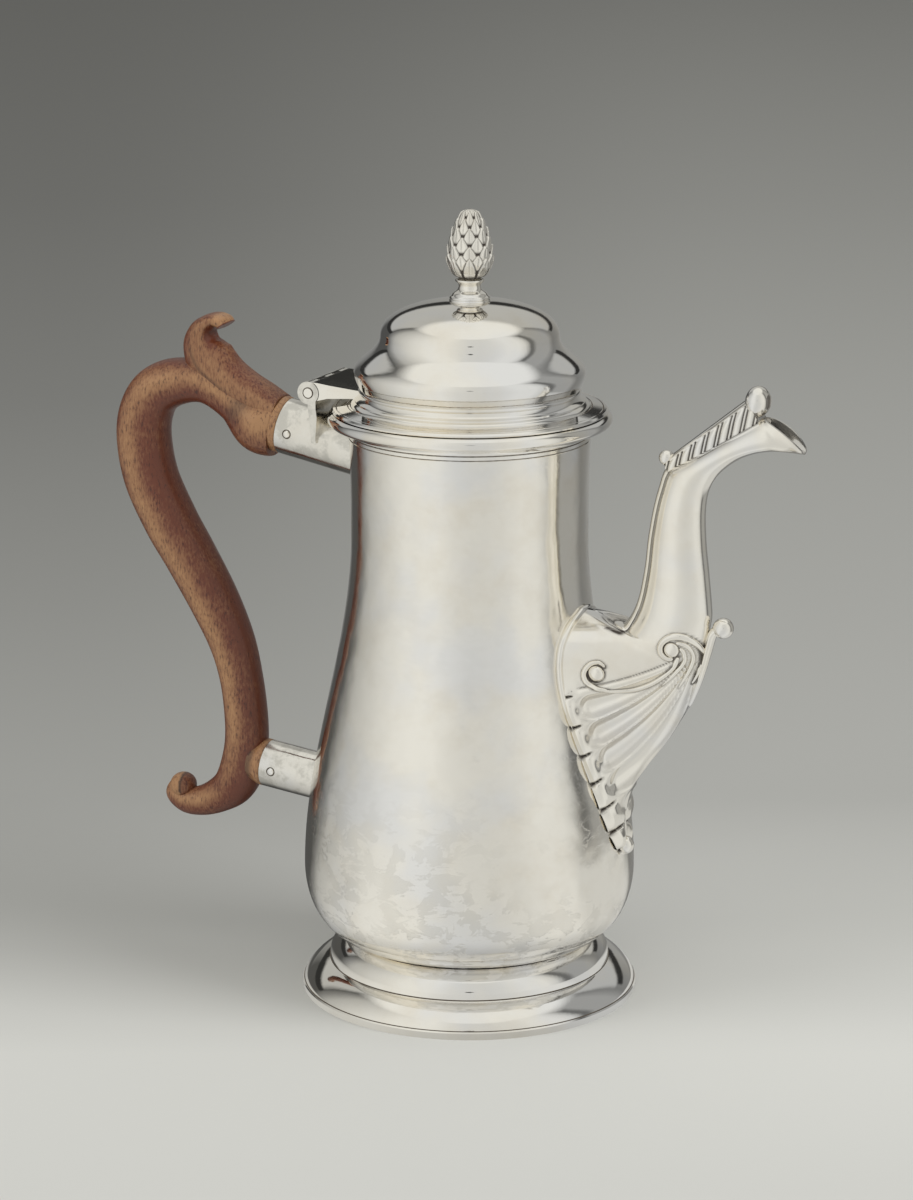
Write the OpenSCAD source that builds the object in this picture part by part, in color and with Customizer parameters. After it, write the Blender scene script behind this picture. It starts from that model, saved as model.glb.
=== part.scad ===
// Silver coffee pot: raised baluster body on a spreading foot, hinged domed lid with a
// pine-cone finial, cast shell spout with a beak, and a carved wooden handle in two sockets.
// +Z is up, +X points to the spout, and the origin is the centre of the foot on the table.

/* [Body] */
// Outer radius of the straight neck
neck_r = 40; // [38:0.5:41]
// Outer radius of the body at its fullest
belly_r = 56.7; // [54:0.1:59]
// Height of the fullest point above the table
belly_z = 44; // [42:0.5:47]
// Height at which the swelling runs out into the straight neck
neck_z = 160; // [152:1:165]
// Height of the mouth above the table
mouth_z = 201.9; // [198:0.1:206]
// Outer radius of the sheet at the mouth
mouth_r = 41; // [41:0.1:42]
// Thickness of the body's silver sheet
body_wall = 0.95; // [0.9:0.05:1.6]
// Radius of the flat base that stands on the foot
base_r = 40; // [38:0.5:42]
// Depth of the two lines cut below the rim
line_cut = 0.25; // [0.1:0.05:0.4]

/* [Strainer] */
// Radius of one drilled hole
strain_r = 1.3; // [0.9:0.1:1.6]
// Distance between neighbouring holes
strain_pitch = 5; // [4:0.1:6]
// Height of the middle hole
strain_z = 108; // [100:1:116]
// Rings of holes around the middle one
strain_rings = 2; // [1:1:3]

/* [Foot] */
// Height of the foot from the table to the body's base
foot_h = 19.7; // [17:0.1:23]
// How far the foot spreads beyond the body's fullest point
foot_spread = 0.8; // [0:0.1:3]
// Width of the foot's lower tier, from the crease between the tiers to the edge
foot_tier_w = 9.2; // [7:0.1:11]
// Height of the crease between the two tiers
foot_tier_z = 10.4; // [8:0.1:12]
// Height of the band around the lower edge
foot_band_h = 2.8; // [2:0.1:4]
// Thickness of the band around the lower edge
foot_band_t = 2; // [1.6:0.1:3]
// Thickness of the foot's sheet
foot_wall = 1; // [0.9:0.05:1.6]

/* [Rim] */
// Largest radius of the moulding around the mouth
rim_r = 47.9; // [46.5:0.1:49]
// Height of that moulding
rim_h = 6.1; // [5:0.1:8]

/* [Lid] */
// Free play between the closed lid and the rim
lid_gap = 0.15; // [0.1:0.05:0.3]
// Outer radius of the lid's brim
brim_r = 46.3; // [45:0.1:47]
// Height of the brim where the dome stands on it
brim_h = 2.95; // [2:0.05:4]
// Thickness of the brim at its edge
brim_edge = 1.4; // [1:0.1:1.8]
// Radius of the dome where it meets the brim
dome_foot_r = 35.5; // [34:0.1:36.5]
// Radius of the lower bulge
bulge_r = 38.8; // [37.5:0.1:40]
// Height of the lower bulge above the mouth
bulge_h = 13.9; // [12:0.1:16]
// Radius of the upper dome
crown_r = 30; // [28:0.1:32]
// Height above the mouth at which the upper dome springs
crown_base_h = 25.6; // [23:0.1:28]
// Rise of the upper dome
crown_rise = 12.1; // [10:0.1:14]
// Fullness of the upper dome: 2 is an ellipse, more is squarer
crown_power = 2.2; // [2:0.1:2.6]
// Thickness of the lid's sheet
lid_wall = 0.85; // [0.8:0.05:1.4]
// Depth of the ring that drops into the mouth
bezel_h = 7; // [5:0.1:8]
// Thickness of that ring
bezel_wall = 1; // [0.8:0.1:1.4]
// Play between that ring and the mouth, at the top
bezel_play = 0.5; // [0.4:0.1:0.8]
// How much that ring narrows downwards
bezel_taper = 1; // [1:0.1:1.6]

/* [Finial] */
// Height of the whole finial above the dome
finial_h = 30.7; // [27:0.1:34]
// Largest radius of the pine cone
cone_r = 7.4; // [6:0.1:8.5]
// Height of the stem below the cone
stem_h = 7.5; // [6.5:0.1:10]
// Radius of the finial's foot
finial_foot_r = 6.9; // [6:0.1:7.5]
// Scales around the cone
cone_scales = 9; // [7:1:11]
// Radius of the tang through the lid
tang_r = 1.6; // [1.2:0.1:2]
// Side of the square nut
nut_side = 7; // [6:0.1:8]
// Thickness of the nut
nut_h = 2.6; // [2:0.1:3.5]
// Radius of the washer
washer_r = 5.5; // [5:0.1:6.5]
// Thickness of the washer
washer_h = 0.8; // [0.6:0.1:1.2]

/* [Hinge] */
// Distance from the rim's edge out to the hinge pin
hinge_out = 5.5; // [5.2:0.1:7]
// Height of the hinge pin above the mouth
hinge_rise = 4.3; // [4:0.1:5]
// Outer radius of the knuckles
knuckle_r = 3.9; // [3.5:0.1:4.1]
// Radius of the hinge pin
hinge_pin_r = 1.6; // [1.2:0.1:2]
// Radial play of the pin in the moving knuckles
hinge_play = 0.05; // [0.02:0.01:0.08]
// Length of the whole row of knuckles
hinge_len = 28; // [24:0.5:32]
// Number of knuckles, fixed ones at both ends
knuckles = 5; // [3:2:7]
// Side play between two knuckles
knuckle_play = 0.15; // [0.1:0.05:0.3]
// Thickness of the standing leaf at the barrel
stand_t = 2.8; // [2:0.1:3.2]

/* [Sockets] */
// Outer radius of the upper handle socket
upper_r = 9.8; // [9:0.1:10.5]
// Outer radius of the lower handle socket
lower_r = 8.3; // [7.5:0.1:9]
// Wall of both sockets
socket_wall = 1.2; // [0.9:0.1:1.6]
// How far the upper socket's mouth stands out from the neck
upper_out = 28.3; // [26:0.1:31]
// Height of the upper socket's mouth, measured down from the pot's mouth
upper_drop = 10.7; // [10:0.1:13]
// How far the lower socket's mouth stands out from the fullest point of the body
lower_out = 20.2; // [17:0.1:23]
// Height of the lower socket's mouth above the table
lower_z = 69.6; // [66:0.1:73]
// Slope of the upper socket in degrees
upper_tilt = 11; // [6:0.5:13]
// Slope of the lower socket in degrees
lower_tilt = 7; // [4:0.5:10]
// Radius of the pins through the sockets
socket_pin_r = 1; // [0.8:0.1:1.3]
// Distance from a socket's mouth to its pin
socket_pin_in = 4.6; // [3.5:0.1:6]

/* [Handle] */
// Clearance of the tenons in the sockets
tenon_play = 0.1; // [0.05:0.05:0.2]
// Length of the tenons
tenon_len = 15; // [9:0.5:16]
// Reach of the handle beyond the line through its two sockets
handle_out = 55; // [48:0.5:62]
// Radius of the grip at its thickest
grip_r = 9.6; // [8.5:0.1:11]
// Width of the handle as a share of its depth
grip_flat = 0.92; // [0.8:0.01:1]
// Height of the thumb scroll above the upper socket's mouth
leaf_h = 35; // [30:0.5:40]
// Width of the thumb scroll
leaf_w = 12; // [9:0.5:15]
// Length of the round collars beside the sockets
collar_len = 3; // [2:0.1:5]

/* [Spout] */
// Thickness of the cast silver
spout_wall = 1.1; // [0.9:0.1:1.6]
// Height of the shell's edge above the plain bulb
shell_raise = 0.8; // [0.4:0.1:1.2]
// Depth of the widest flute
flute_deep = 2.2; // [1:0.1:2.6]
// Width of the raised band between the flutes and the body
edge_band = 4.3; // [3:0.1:6]
// Radius of the disc in the eye of the volute
volute_r = 3.6; // [3:0.1:4.2]
// Radius of the boss at the upper corner of the shell
boss_r = 3.2; // [2.5:0.1:3.8]
// Radius of the bead in front of the shell
front_bead_r = 3.5; // [2.5:0.1:3.8]
// Radius of the bead at the lower end of the shell
tail_bead_r = 2.4; // [1.8:0.1:3]
// Half width of the rib up the back of the spout
back_rib_w = 2.4; // [1.5:0.1:3]
// Thickness of that rib
back_rib_t = 1; // [0.6:0.1:1.4]
// Half width of the tongue at the rib's lower end
tongue_w = 5; // [3:0.1:6]
// Half width of the crest at its lower end
crest_w0 = 3; // [2.5:0.1:3.5]
// Half width of the crest at the knob
crest_w1 = 4.6; // [4:0.1:5]
// Flutes on each side of the crest
crest_flutes = 10; // [7:1:12]
// Radius of the bead at the crest's lower end
crest_bead_r = 2.6; // [2:0.1:3]
// Radius of the knob at the top of the crest
knob_r = 5.1; // [4.5:0.1:6]
// Half length of that knob
knob_l = 4.2; // [3:0.1:5]

/* [Hidden] */
$fn = 96;
silver = [0.80, 0.79, 0.77];
wood = [0.52, 0.30, 0.20];

// ---- curves -------------------------------------------------------------------------

function smooth(t) = t * t * (3 - 2 * t);
function clamp(v, lo, hi) = min(max(v, lo), hi);
function bez(a, b, c, d, n) =
    [for (i = [0:n]) let (t = i / n, u = 1 - t)
        u * u * u * a + 3 * u * u * t * b + 3 * u * t * t * c + t * t * t * d];

// The same path moved sideways by d, to the left of its direction of travel
function beside(p, d) =
    [for (i = [0:len(p) - 1])
        let (v = p[min(i + 1, len(p) - 1)] - p[max(i - 1, 0)], n = norm(v))
            p[i] + d / n * [-v[1], v[0]]];
function backwards(p) = [for (i = [len(p) - 1:-1:0]) p[i]];

// One row between the rows of a list, by a Catmull-Rom curve through all of them
function spline_row(rows, s) =
    let (i = min(floor(s), len(rows) - 2), t = s - i,
         a = rows[max(i - 1, 0)], b = rows[i], c = rows[i + 1], d = rows[min(i + 2, len(rows) - 1)])
        0.5 * (2 * b + (c - a) * t + (2 * a - 5 * b + 4 * c - d) * t * t
               + (3 * b - a - 3 * c + d) * t * t * t);
function refine(rows, steps) =
    [for (k = [0:(len(rows) - 1) * steps]) spline_row(rows, k / steps)];

// ---- body ---------------------------------------------------------------------------

// Outer radius of the body at a height
function body_r(z) =
    z >= neck_z ? neck_r + (mouth_r - neck_r) * pow((z - neck_z) / (mouth_z - neck_z), 3)
    : z >= belly_z ? neck_r + (belly_r - neck_r) * smooth((neck_z - z) / (neck_z - belly_z))
    : base_r + (belly_r - base_r)
        * sqrt(max(0, 1 - pow((belly_z - z) / (belly_z - foot_h), 2)));

base_steps = 14;
side_steps = 26;
neck_steps = 6;
body_path = concat(
    [for (i = [0:base_steps]) let (a = 90 - 90 * i / base_steps)
        [base_r + (belly_r - base_r) * cos(a), belly_z - (belly_z - foot_h) * sin(a)]],
    [for (i = [1:side_steps]) let (z = belly_z + (neck_z - belly_z) * i / side_steps)
        [body_r(z), z]],
    [for (i = [1:neck_steps]) let (z = neck_z + (mouth_z - neck_z) * i / neck_steps)
        [body_r(z), z]]);
rim_z = mouth_z - rim_h;
cut_lines = [rim_z - 0.9, rim_z - 2.4];
through = 60;

module body_solid() {
    rotate_extrude() polygon(concat([[0, foot_h]], body_path, [[0, mouth_z]]));
}

module strainer_holes() {
    for (i = [-strain_rings:strain_rings], j = [-strain_rings:strain_rings])
        if (abs(i + j) <= strain_rings)
            translate([belly_r / 2, (j + i / 2) * strain_pitch,
                       strain_z + i * strain_pitch * sqrt(3) / 2])
                rotate([0, 90, 0]) cylinder(r = strain_r, h = through / 2, $fn = 24);
}

module body_shell() {
    inner = beside(body_path, body_wall);
    color(silver) difference() {
        rotate_extrude() polygon(concat([[0, foot_h]], body_path,
                                        [[mouth_r - body_wall, mouth_z]],
                                        backwards([for (p = inner) if (p[1] < mouth_z - 1) p]),
                                        [[0, foot_h + body_wall]]));
        for (z = cut_lines)
            translate([0, 0, z]) rotate_extrude()
                translate([body_r(z), 0]) circle(r = line_cut, $fn = 4);
        strainer_holes();
    }
}

module rim_section() {
    z = rim_z;
    polygon(concat([[mouth_r, z]],
        bez([mouth_r + 0.6, z], [mouth_r + 1.2, z + 1.4], [rim_r - 4.5, z + 1.6],
            [rim_r - 2.6, z + 1.9], 5),
        bez([rim_r - 1.9, z + 1.9], [rim_r + 0.4, z + 2.3], [rim_r + 0.6, z + 5.2],
            [rim_r - 1.7, mouth_z], 8),
        [[mouth_r, mouth_z]]));
}

module body_rim() {
    color(silver) rotate_extrude() rim_section();
}

// ---- foot ---------------------------------------------------------------------------

foot_r = belly_r + foot_spread;
foot_tier_r = foot_r - foot_tier_w;
foot_top_r = base_r + 2.4;
foot_path = concat(
    bez([foot_r - 0.3, foot_band_h], [foot_r - 0.6, foot_band_h + 2.4],
        [foot_tier_r + 3.5, foot_tier_z - 0.6], [foot_tier_r, foot_tier_z], 10),
    bez([foot_tier_r - 0.1, foot_tier_z + 0.6], [foot_tier_r + 0.1, foot_tier_z + 4.6],
        [foot_top_r + 2.4, foot_h - 1.6], [foot_top_r, foot_h - 0.5], 9),
    [[base_r - 0.2, foot_h]]);

module foot() {
    lip = base_r - 3;
    inner = beside(foot_path, foot_wall);
    color(silver) rotate_extrude() polygon(concat(
        foot_path, [[lip, foot_h], [lip, foot_h - foot_wall]],
        backwards([for (p = inner) if (p[1] > foot_band_h + 0.5 && p[1] < foot_h - foot_wall) p]),
        [[foot_r - 0.3 - foot_wall, foot_band_h]]));
}

module foot_rim() {
    color(silver) rotate_extrude() polygon([
        [foot_r - foot_band_t, 0], [foot_r, 0], [foot_r + 0.3, foot_band_h - 0.5],
        [foot_r, foot_band_h], [foot_r - foot_band_t, foot_band_h]]);
}

// ---- spout --------------------------------------------------------------------------

// Sections where the casting lies against the body, from its lower point upwards:
// height and half width at the wall, height at the front, reach of the front
// from the wall, and half width of the swelling between them
spout_root = [
    [ 54.0,  1.5,  54.0,  1.2, 0.5],
    [ 58.0,  5.5,  58.5,  1.8, 1.7],
    [ 66.0, 10.0,  67.0,  2.6, 3.1],
    [ 75.0, 13.0,  76.5,  6.0, 4.5],
    [ 84.0, 15.2,  86.3, 13.8, 6.2],
    [ 93.0, 17.0,  95.3, 22.3, 7.7],
    [101.0, 18.4, 102.5, 28.2, 8.8],
    [109.0, 19.4, 107.8, 32.1, 9.4],
    [117.0, 19.4, 111.8, 34.7, 9.6],
    [124.0, 18.2, 115.0, 36.6, 9.6],
    [130.0, 15.4, 118.0, 38.1, 9.5],
    [135.0,  9.9, 120.5, 39.2, 9.4],
    [138.0,  2.6, 122.5, 40.0, 9.3]];

// Sections of the free neck and the beak, in millimetres out from the wall at the
// saddle: back point, front point, half width of the open lip, and of the swelling
spout_neck = [
    [ 5.7, 137.4, 42.7, 124.8, 0, 9.2],
    [11.2, 134.7, 43.2, 127.6, 0, 9.1],
    [15.0, 133.7, 43.9, 131.2, 0, 9.0],
    [17.6, 136.3, 44.8, 135.7, 0, 8.8],
    [19.6, 140.0, 45.4, 139.6, 0, 8.5],
    [21.0, 144.0, 45.2, 143.4, 0, 8.3],
    [22.0, 148.5, 44.8, 147.6, 0, 8.1],
    [23.2, 156.0, 44.0, 155.0, 0, 7.7],
    [24.1, 165.0, 42.9, 164.5, 0, 7.4],
    [25.7, 174.5, 42.5, 174.5, 0, 7.0],
    [27.6, 182.0, 43.4, 181.5, 0, 6.8],
    [29.9, 188.2, 46.0, 186.8, 0, 6.6],
    [35.2, 191.7, 50.2, 191.0, 0, 6.3],
    [42.0, 196.0, 55.0, 194.2, 0, 6.0],
    [49.0, 200.4, 60.2, 196.3, 0, 5.8],
    [56.0, 204.8, 65.0, 197.3, 0, 5.6],
    [61.4, 208.0, 68.4, 197.5, 0.6, 5.6],
    [64.4, 207.6, 70.6, 197.5, 3.8, 4.5],
    [69.0, 205.2, 73.0, 197.4, 4.8, 3.5],
    [73.4, 201.8, 75.0, 197.3, 4.2, 2.8],
    [76.0, 198.9, 76.4, 197.3, 2.8, 1.8]];
crest_first = 11;
crest_last = 16;

seam_gap = 0.08;
saddle_z = 137.5;
saddle_x = body_r(saddle_z);
root_last = len(spout_root) - 1;
root_steps = 3;
outer_sides = 26;
inner_sides = 6;

// A row is [back x, back y, back z, front x, front z, swell]
function wall_x(y, z) = sqrt(pow(body_r(z), 2) - y * y) + seam_gap;
function on_wall(r) = [wall_x(r[1], r[2]), r[1], r[2], r[3], r[4], r[5]];
all_rows = concat(
    [for (r = spout_root) on_wall([0, r[1], r[0], body_r(r[2]) + r[3], r[2], r[4]])],
    [for (r = spout_neck) [saddle_x + r[0], r[4], r[1], saddle_x + r[2], r[3], r[5]]]);
row_places = concat([for (k = [0:root_last * root_steps]) k / root_steps],
                    [for (k = [root_last + 1:len(all_rows) - 1]) k]);

// Flutes of the shell: they fan out from a focus beside the volute, and the fan
// winds round as it grows. A flute number is whole on each rib.
fan_x = saddle_x + 41.5;
fan_z = 132;
fan_twist = 0.38;
fan_curl = 0.8;
fan_curl_reach = 9;
first_rib = 1;
rib_turn = 8;
rib_growth = 0.9;
flutes = 4;
low_flute = -1.7;
function flute_number(x, z) =
    let (dx = fan_x - x, dz = fan_z - z, far = norm([dx, dz]),
         turn = atan2(dx, dz) / (1 - fan_curl * exp(-far / fan_curl_reach))
                - fan_twist * far - first_rib)
        (-rib_turn + sqrt(max(0, rib_turn * rib_turn + 4 * rib_growth * turn))) / (2 * rib_growth);
function ease(v) = smooth(clamp(v, 0, 1));
function bump(x, z, cx, cz, r) = sqrt(max(0, r * r - pow(x - cx, 2) - pow(z - cz, 2)));
volute = [saddle_x + 34.2, 129.3];
boss = [saddle_x + 10.4, 120.5];

// Height of the relief at a point that lies m along its section from the wall: a raised
// level below the top rib, with a hollow with a spoon's round end between each two ribs
function shell_relief(x, z, m) =
    let (k = flute_number(x, z), far = norm([fan_x - x, fan_z - z]), share = k - floor(k),
         spread = far * (rib_turn + 2 * rib_growth * max(k, low_flute)) * PI / 180,
         past_band = m - edge_band - 0.5 * spread * (1 - sqrt(1 - pow(2 * share - 1, 2))),
         inside = k < low_flute ? 0 : ease((flutes - k) / 0.1),
         scoop = ease(past_band / 4.2) * sin(180 * share) * inside * ease((far - 3) / 5),
         level = shell_raise * (1 - ease((k - flutes) * spread / 6)) * ease((far - 4) / 5))
        level - (0.6 * level + min(0.23 * spread, flute_deep)) * scoop
        + 0.7 * bump(x, z, volute[0], volute[1], volute_r)
        + 0.8 * bump(x, z, boss[0], boss[1], boss_r);

// Point of a section at an angle, from 0 at the back to 180 at the front
function section_point(row, a, narrow, s0, s1) =
    let (d = [row[3] - row[0], row[4] - row[2]], l = norm(d),
         m = s0 + (l - s0 - s1) * (1 - cos(a)) / 2)
        [row[0] + d[0] * m / l,
         narrow * norm([row[1] * (1 + cos(a)) / 2, row[5] * sin(a)]),
         row[2] + d[1] * m / l, m];
function section_width(row) =
    max([for (a = [0:10:180]) section_point(row, a, 1, 0, 0)[1]]);
function shut(row) = row[1] < 0.5;
function relief_share(s) = ease((root_last + 4.5 - s) / 2);

function outer_loop(row, s) =
    [for (j = [0:outer_sides])
        let (p = section_point(row, 180 * j / outer_sides, 1, 0, 0),
             h = j > 0 ? shell_relief(p[0], p[2], p[3]) * clamp(p[1] / 2, 0, 1) : 0)
            [p[0], j == outer_sides || (j == 0 && shut(row)) ? 0 : p[1] + h * relief_share(s),
             p[2]]];
function inner_loop(row, s) =
    let (w = section_width(row), l = norm([row[3] - row[0], row[4] - row[2]]),
         under = flute_deep * clamp((root_last + 2 - s) / 3, 0, 1),
         s0 = shut(row) ? min(spout_wall, l / 3) : 0, s1 = min(spout_wall + under, l / 3))
        [for (j = [0:inner_sides])
            let (a = 180 * j / inner_sides,
                 narrow = max(1 - (spout_wall + under * min(1, 1.5 * sin(a))) / w, 0.4),
                 p = section_point(row, a, narrow, s0, s1))
                [j == 0 && s <= root_last ? wall_x(p[1], p[2]) : p[0],
                 j == inner_sides || (j == 0 && shut(row)) ? 0 : p[1], p[2]]];

module spout_half() {
    loops = [for (s = row_places)
        let (free = spline_row(all_rows, s), row = s <= root_last ? on_wall(free) : free)
            concat(outer_loop(row, s), backwards(inner_loop(row, s)))];
    n = len(loops);
    m = outer_sides + inner_sides + 2;
    points = [for (l = loops) for (p = l) [p[0], -p[1], p[2]]];
    skin = [for (i = [0:n - 2], j = [0:m - 1]) let (a = i * m + j, b = i * m + (j + 1) % m)
        each [[a, b, b + m], [a, b + m, a + m]]];
    facing = [for (j = [0:outer_sides]) m - 1 - round(j * inner_sides / outer_sides)];
    cap = [for (j = [0:outer_sides - 1])
        each concat([[j, facing[j], j + 1]],
                    facing[j + 1] == facing[j] ? [] : [[j + 1, facing[j], facing[j + 1]]])];
    cap_end = [for (f = cap) [f[0], f[2], f[1]] + (n - 1) * m * [1, 1, 1]];
    polyhedron(points = points, faces = concat(skin, cap, cap_end), convexity = 6);
}

module spout_half_left() {
    color(silver) spout_half();
}
module spout_half_right() {
    color(silver) mirror([0, 1, 0]) spout_half();
}

// A round bar swept along a curve in the X-Z plane. A row is [x, z, radius in that
// plane, radius across it]
module swept(rows, n) {
    c = len(rows);
    points = [for (i = [0:c - 1]) let (r = rows[i], a = rows[max(i - 1, 0)],
                                       b = rows[min(i + 1, c - 1)],
                                       d = [b[0] - a[0], b[1] - a[1]], t = d / norm(d))
        for (k = [0:n - 1]) let (u = r[2] * cos(360 * k / n), v = r[3] * sin(360 * k / n))
            [r[0] - t[1] * u, v, r[1] + t[0] * u]];
    skin = [for (i = [0:c - 2], k = [0:n - 1]) let (p = i * n + k, q = i * n + (k + 1) % n)
        each [[p, q, q + n], [p, q + n, p + n]]];
    polyhedron(points = points, faces = concat(skin,
        [[for (k = [n - 1:-1:0]) k]], [[for (k = [0:n - 1]) (c - 1) * n + k]]),
        convexity = 6);
}

// Half-round strip over the joint, from a rounded tongue on the saddle up to the crest.
// It lies on the curve of the sections, so it wraps round the back of the neck.
rib_first = 1;
rib_steps = 20;
rib_across = 6;
rib_sunk = 0.5;
module spout_back_rib() {
    rings = [for (i = [0:rib_steps])
        let (f = i / rib_steps, s = rib_first + (crest_first - rib_first) * f,
             row = spline_row(spout_neck, s), next = spline_row(spout_neck, s + 0.05),
             back = [row[0], row[1]], d = [row[2], row[3]] - back,
             along = [next[0], next[1]] - back, up = [-along[1], along[0]] / norm(along),
             w = (back_rib_w + (tongue_w - back_rib_w) * pow(1 - f, 3))
                 * (i == 0 ? 0.35 : i == 1 ? 0.8 : 1),
             skin = [for (j = [0:rib_across])
                 let (v = 2 * j / rib_across - 1,
                      c = back + d * (1 - sqrt(1 - pow(v * w / row[5], 2))) / 2)
                     [c, v]])
            concat([for (q = skin) let (c = q[0] + up * back_rib_t * sqrt(1.02 - q[1] * q[1]))
                        [saddle_x + c[0], w * q[1], c[1]]],
                   [for (q = backwards(skin)) let (c = q[0] - up * rib_sunk)
                        [saddle_x + c[0], w * q[1], c[1]]])];
    n = 2 * (rib_across + 1);
    skin = [for (i = [0:rib_steps - 1], k = [0:n - 1]) let (p = i * n + k, q = i * n + (k + 1) % n)
        each [[p, q + n, q], [p, p + n, q + n]]];
    cap = [for (j = [0:rib_across - 1]) let (c = n - 2 - j, e = n - 1 - j)
        each [[j, j + 1, c], [j, c, e]]];
    cap_end = [for (f = cap) [f[0], f[2], f[1]] + rib_steps * n * [1, 1, 1]];
    color(silver) polyhedron(points = [for (r = rings) each r],
                             faces = concat(skin, cap, cap_end), convexity = 4);
}

// The crest is drawn on the line of the spout's back, from its bend to the beak
crest_a = [saddle_x + spout_neck[crest_first][0], spout_neck[crest_first][1]];
crest_b = [saddle_x + spout_neck[crest_last][0], spout_neck[crest_last][1]];
crest_len = norm(crest_b - crest_a);
crest_turn = atan2(crest_b[1] - crest_a[1], crest_b[0] - crest_a[0]);
crest_root = -3.2;
crest_low = 3.6;
crest_high = 8;
crest_edge = 0.3;
crest_border = 1;
flute_depth = 0.7;
flute_lean = 0.5;
crest_rings = 4 * crest_flutes;

module along_crest() {
    translate([crest_a[0], 0, crest_a[1]]) rotate([0, -crest_turn, 0]) children();
}

// Half of the crest's cross-section at share f of its length, as [across, up]: a plain
// border below, slanting flutes pressed into the side, and a smooth round top
function crest_point(f, k) =
    let (w = crest_w0 + (crest_w1 - crest_w0) * f,
         axis = crest_low + (crest_high - crest_low) * f - w,
         turn = [0, 0, 0, 25, 48, 70, 90][k],
         up = k == 0 ? crest_root : k == 1 ? crest_edge : k == 2 ? crest_border
              : max(axis + w * sin(turn), crest_border + 0.5 * (k - 2)),
         groove = pow(sin(180 * (crest_flutes * f + flute_lean * up / w)), 2))
        [w * cos(turn) - (k == 2 || k == 3 ? flute_depth * groove : 0), up];

module crest_bar() {
    n = 13;
    points = [for (i = [0:crest_rings]) let (f = i / crest_rings)
        each [for (j = [0:n - 1]) let (p = crest_point(f, j < 7 ? j : n - 1 - j))
            [crest_len * f, j < 7 ? p[0] : -p[0], p[1]]]];
    skin = [for (i = [0:crest_rings - 1], j = [0:n - 1])
        let (a = i * n + j, b = i * n + (j + 1) % n)
        each [[a, b + n, b], [a, a + n, b + n]]];
    top = 6;
    cap = [for (j = [0:n - 1]) if (j != top && j + 1 != top) [top, j, (j + 1) % n]];
    cap_end = [for (f = cap) [f[0], f[2], f[1]] + crest_rings * n * [1, 1, 1]];
    polyhedron(points = points, faces = concat(skin, cap, cap_end), convexity = 6);
}

// Oval bun at the top of the crest, dished in front over the beak's mouth
knob_centre = crest_b + [-1.3, knob_r + 0.3];
knob_dish = 32;
module crest_knob() {
    rotate([0, 90, 0]) rotate_extrude() polygon(concat(
        [for (a = [0:12:180 - knob_dish]) [knob_r * sin(a), -knob_l * cos(a)]],
        [[knob_r * sin(knob_dish), knob_l * cos(knob_dish)],
         [knob_r * 0.3, knob_l * cos(knob_dish) - 0.7], [0, knob_l * cos(knob_dish) - 0.8]]));
}

module spout_crest() {
    color(silver) union() {
        along_crest() crest_bar();
        along_crest() translate([1.2, 0, crest_low + 0.3]) sphere(r = crest_bead_r);
        translate([knob_centre[0], 0, knob_centre[1]]) crest_knob();
    }
}

// Strip up the front edge of the shell, which curls out into a bead: out and up from
// the saddle's wall, half thickness and half width
front_strip = [
    [38.2, 108.5, 0.7, 1.2], [41.0, 116.0, 1.0, 1.7], [43.0, 123.0, 1.2, 2.0],
    [44.6, 129.5, 1.3, 2.2], [45.8, 133.8, 1.5, 2.3], [47.9, 136.0, 1.6, 2.3],
    [49.8, 136.4, 1.6, 2.2]];
front_bead = [saddle_x + 49.6, 136.5];
module spout_front_scroll() {
    color(silver) union() {
        swept(refine([for (r = front_strip) [saddle_x + r[0], r[1], r[2], r[3]]], 2), 10);
        translate([front_bead[0], 0, front_bead[1]]) sphere(r = front_bead_r);
    }
}

tail_bead_z = 57.7;
module spout_tail_drop() {
    color(silver) translate([body_r(tail_bead_z) + 1.6, 0, tail_bead_z])
        sphere(r = tail_bead_r);
}

// ---- handle sockets -----------------------------------------------------------------

upper_x = neck_r + upper_out;
lower_x = belly_r + lower_out;
upper_mouth = [-upper_x, 0, mouth_z - upper_drop];
lower_mouth = [-lower_x, 0, lower_z];

// Puts its children on a socket's axis: origin at the mouth, +Z towards the body
module in_socket(mouth, tilt) {
    translate(mouth) rotate([0, 90 + tilt, 0]) children();
}
module in_upper() {
    in_socket(upper_mouth, upper_tilt) children();
}
module in_lower() {
    in_socket(lower_mouth, lower_tilt) children();
}

module pin_hole(r) {
    translate([0, 0, socket_pin_in]) rotate([90, 0, 0])
        cylinder(r = r, h = through, center = true, $fn = 24);
}

module socket_tube(r, len) {
    difference() {
        cylinder(r = r, h = len);
        translate([0, 0, -1]) cylinder(r = r - socket_wall, h = len + 2);
        pin_hole(socket_pin_r);
    }
}

module upper_socket() {
    color(silver) difference() {
        in_upper() socket_tube(upper_r, upper_x - neck_r + 12);
        body_solid();
        rotate_extrude() rim_section();
    }
}
module lower_socket() {
    color(silver) difference() {
        in_lower() socket_tube(lower_r, lower_x - neck_r);
        body_solid();
    }
}

// Pin with a low round head at each end
module socket_pin(r) {
    head = socket_pin_r * 1.35;
    translate([0, 0, socket_pin_in]) rotate([90, 0, 0]) {
        cylinder(r = socket_pin_r, h = 2 * r, center = true, $fn = 24);
        for (side = [0, 1]) mirror([0, 0, side]) translate([0, 0, r]) rotate_extrude($fn = 24)
            polygon([[0, 0], [head, 0], [head * 0.8, 0.35], [head * 0.4, 0.55], [0, 0.6]]);
    }
}
module upper_socket_pin() {
    color(silver) in_upper() socket_pin(upper_r);
}
module lower_socket_pin() {
    color(silver) in_lower() socket_pin(lower_r);
}

// ---- handle -------------------------------------------------------------------------

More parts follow.
